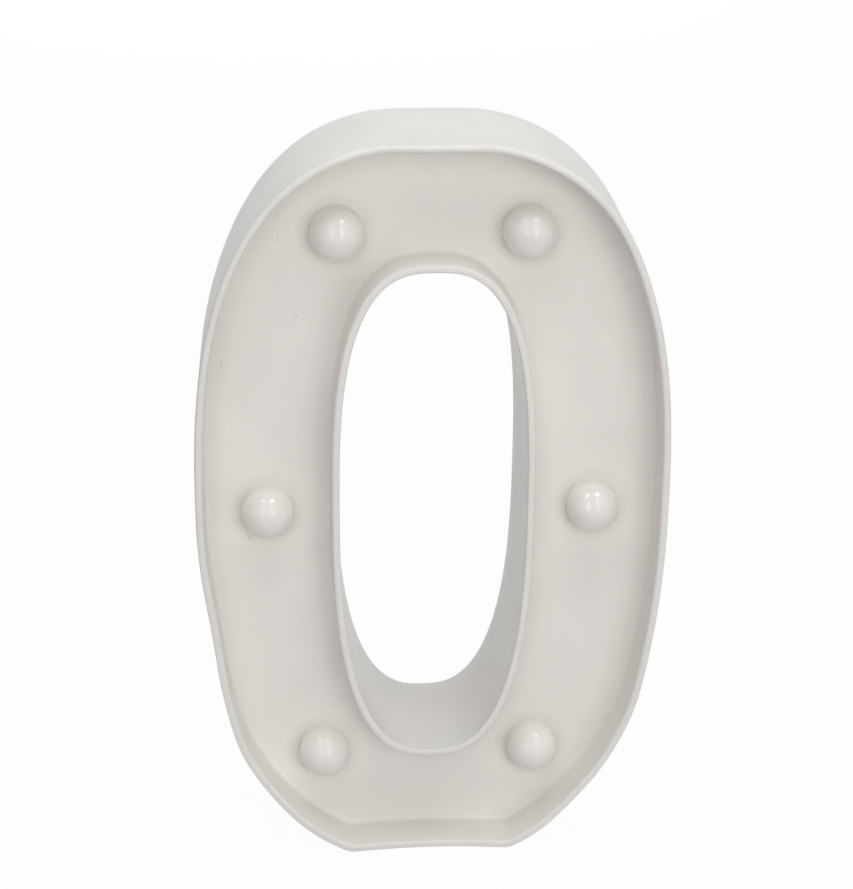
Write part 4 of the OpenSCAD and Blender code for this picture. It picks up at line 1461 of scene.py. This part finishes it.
class DIGIT_OT_stage(bpy.types.Operator):
    """Set the floor, the lights and the camera"""
    bl_idname = "digit.stage"
    bl_label = "Stage"

    def execute(self, context):
        scene = context.scene
        self.floor(scene)
        self.world(scene)
        mirrors = bpy.data.collections.new("bulbs_only")
        mirrors.objects.link(bpy.data.objects["bulbs"])
        for row in LAMPS:
            self.lamp(scene, *row)
        for row in REFLECTIONS:
            self.lamp(scene, *row, mirrors)
        self.camera(scene)
        scene.view_settings.view_transform = "Standard"
        return {"FINISHED"}

    @staticmethod
    def seen(tree):
        """1 where the camera looks, directly, in a reflection or through a clear piece"""
        path = tree.nodes.new("ShaderNodeLightPath").outputs
        direct = add_node(tree, "ShaderNodeMath", {"operation": "MAXIMUM"},
                          {0: path["Is Camera Ray"], 1: path["Is Glossy Ray"]}).outputs[0]
        return add_node(tree, "ShaderNodeMath", {"operation": "MAXIMUM"},
                        {0: direct, 1: path["Is Transmission Ray"]}).outputs[0]

    def floor(self, scene):
        """Pale paper that shows to the camera as plain white"""
        studio = scene.digit_studio
        reach = studio.floor_reach
        data = bpy.data.meshes.new("floor")
        data.from_pydata([(-reach, -reach, 0), (reach, -reach, 0), (reach, reach, 0), (-reach, reach, 0)],
                         [], [(0, 1, 2, 3)])
        floor = bpy.data.objects.new("floor", data)
        scene.collection.objects.link(floor)
        finish = Finish("floor_white")
        paper = finish.node("ShaderNodeBsdfDiffuse", {}, {"Color": opaque(WHITE[:3], studio.floor_shade)})
        glow = finish.node("ShaderNodeEmission", {}, {"Color": WHITE, "Strength": 1.0})
        share = Amount(finish, self.seen(finish.tree)) * studio.floor_white
        both = finish.node("ShaderNodeMixShader", {}, {0: share, 1: paper, 2: glow})
        data.materials.append(finish.output(both))

    @staticmethod
    def background(tree, strength):
        """White light of a given strength from all round"""
        return add_node(tree, "ShaderNodeBackground", {}, {"Color": WHITE, "Strength": strength}).outputs[0]

    def world(self, scene):
        """Weak light from all round, which shows to the camera as plain white"""
        world = bpy.data.worlds.new("studio")
        world.use_nodes = True
        tree = world.node_tree
        tree.nodes.clear()
        light, white = [self.background(tree, strength) for strength in (scene.digit_studio.ambient, 1.0)]
        both = add_node(tree, "ShaderNodeMixShader", {}, {0: self.seen(tree), 1: light, 2: white}).outputs[0]
        add_node(tree, "ShaderNodeOutputWorld", {}, {"Surface": both})
        scene.world = world

    @staticmethod
    def lamp(scene, name, place, width, height, power, tint, mirrors=None):
        """A soft rectangular lamp aimed at the digit, which lights it or only shows in mirroring pieces"""
        light = bpy.data.lights.new(name, "AREA")
        light.shape = "RECTANGLE"
        light.size = width
        light.size_y = height
        light.energy = power
        light.color = tint
        lamp = bpy.data.objects.new(name, light)
        lamp.location = place
        lamp.visible_glossy = mirrors is not None
        lamp.visible_diffuse = mirrors is None
        lamp.light_linking.receiver_collection = mirrors
        aim = (SHELL_LOW + SHELL_HIGH) / 2 - Vector(place)
        lamp.rotation_euler = aim.to_track_quat("-Z", "Y").to_euler()
        scene.collection.objects.link(lamp)

    @staticmethod
    def camera(scene):
        """A camera at the photograph's viewpoint"""
        view = scene.digit_view
        towards = Vector((math.sin(view.azimuth) * math.cos(view.elevation),
                          -math.cos(view.azimuth) * math.cos(view.elevation), math.sin(view.elevation)))
        level = Vector((math.cos(view.azimuth), math.sin(view.azimuth), 0))
        upward = towards.cross(level)
        right = level * math.cos(view.roll) + upward * math.sin(view.roll)
        up = upward * math.cos(view.roll) - level * math.sin(view.roll)
        pixel = view.distance / view.focal_pixels
        rim_middle = Vector((0, SHELL_LOW.y, (SHELL_LOW.z + SHELL_HIGH.z) / 2))
        place = (rim_middle - right * view.aim_right * pixel + up * view.aim_down * pixel
                 + towards * view.distance)
        data = bpy.data.cameras.new("photo_view")
        data.sensor_width = 36
        data.lens = view.focal_pixels * data.sensor_width / view.long_side
        data.clip_start = 10 * MM
        camera = bpy.data.objects.new("photo_view", data)
        axes = Matrix((right, up, towards)).transposed()
        camera.matrix_world = Matrix.Translation(place) @ axes.to_4x4()
        scene.collection.objects.link(camera)
        scene.camera = camera


OPERATORS = (DIGIT_OT_shell, DIGIT_OT_bulbs, DIGIT_OT_cover, DIGIT_OT_screws, DIGIT_OT_switch, DIGIT_OT_cells,
             DIGIT_OT_contacts, DIGIT_OT_wiring, DIGIT_OT_lamps, DIGIT_OT_stage)


class DIGIT_PT_panel(bpy.types.Panel):
    """Lists the pieces and their sizes"""
    bl_idname = "DIGIT_PT_panel"
    bl_label = "Light-up Digit"
    bl_space_type = "VIEW_3D"
    bl_region_type = "UI"
    bl_category = "Digit"

    def draw(self, context):
        for operator in OPERATORS:
            self.layout.operator(operator.bl_idname)
        for group in GROUPS:
            box = self.layout.box()
            for name in GROUPS[group].__annotations__:
                box.prop(getattr(context.scene, group), name)


def register():
    """Adds the groups of sizes to every scene, then the operators and the panel"""
    for group, kind in GROUPS.items():
        bpy.utils.register_class(kind)
        setattr(bpy.types.Scene, group, bpy.props.PointerProperty(type=kind))
    for kind in OPERATORS + (DIGIT_PT_panel,):
        bpy.utils.register_class(kind)


def unregister():
    """Takes away what register has added"""
    for kind in (DIGIT_PT_panel,) + OPERATORS[::-1]:
        bpy.utils.unregister_class(kind)
    for group, kind in GROUPS.items():
        delattr(bpy.types.Scene, group)
        bpy.utils.unregister_class(kind)


def main():
    """Makes every piece and the stage"""
    register()
    bpy.ops.digit.shell()
    bpy.ops.digit.bulbs()
    bpy.ops.digit.cover()
    bpy.ops.digit.screws()
    bpy.ops.digit.switch()
    bpy.ops.digit.cells()
    bpy.ops.digit.contacts()
    bpy.ops.digit.wiring()
    bpy.ops.digit.lamps()
    bpy.ops.digit.stage()


if __name__ == "__main__":
    main()
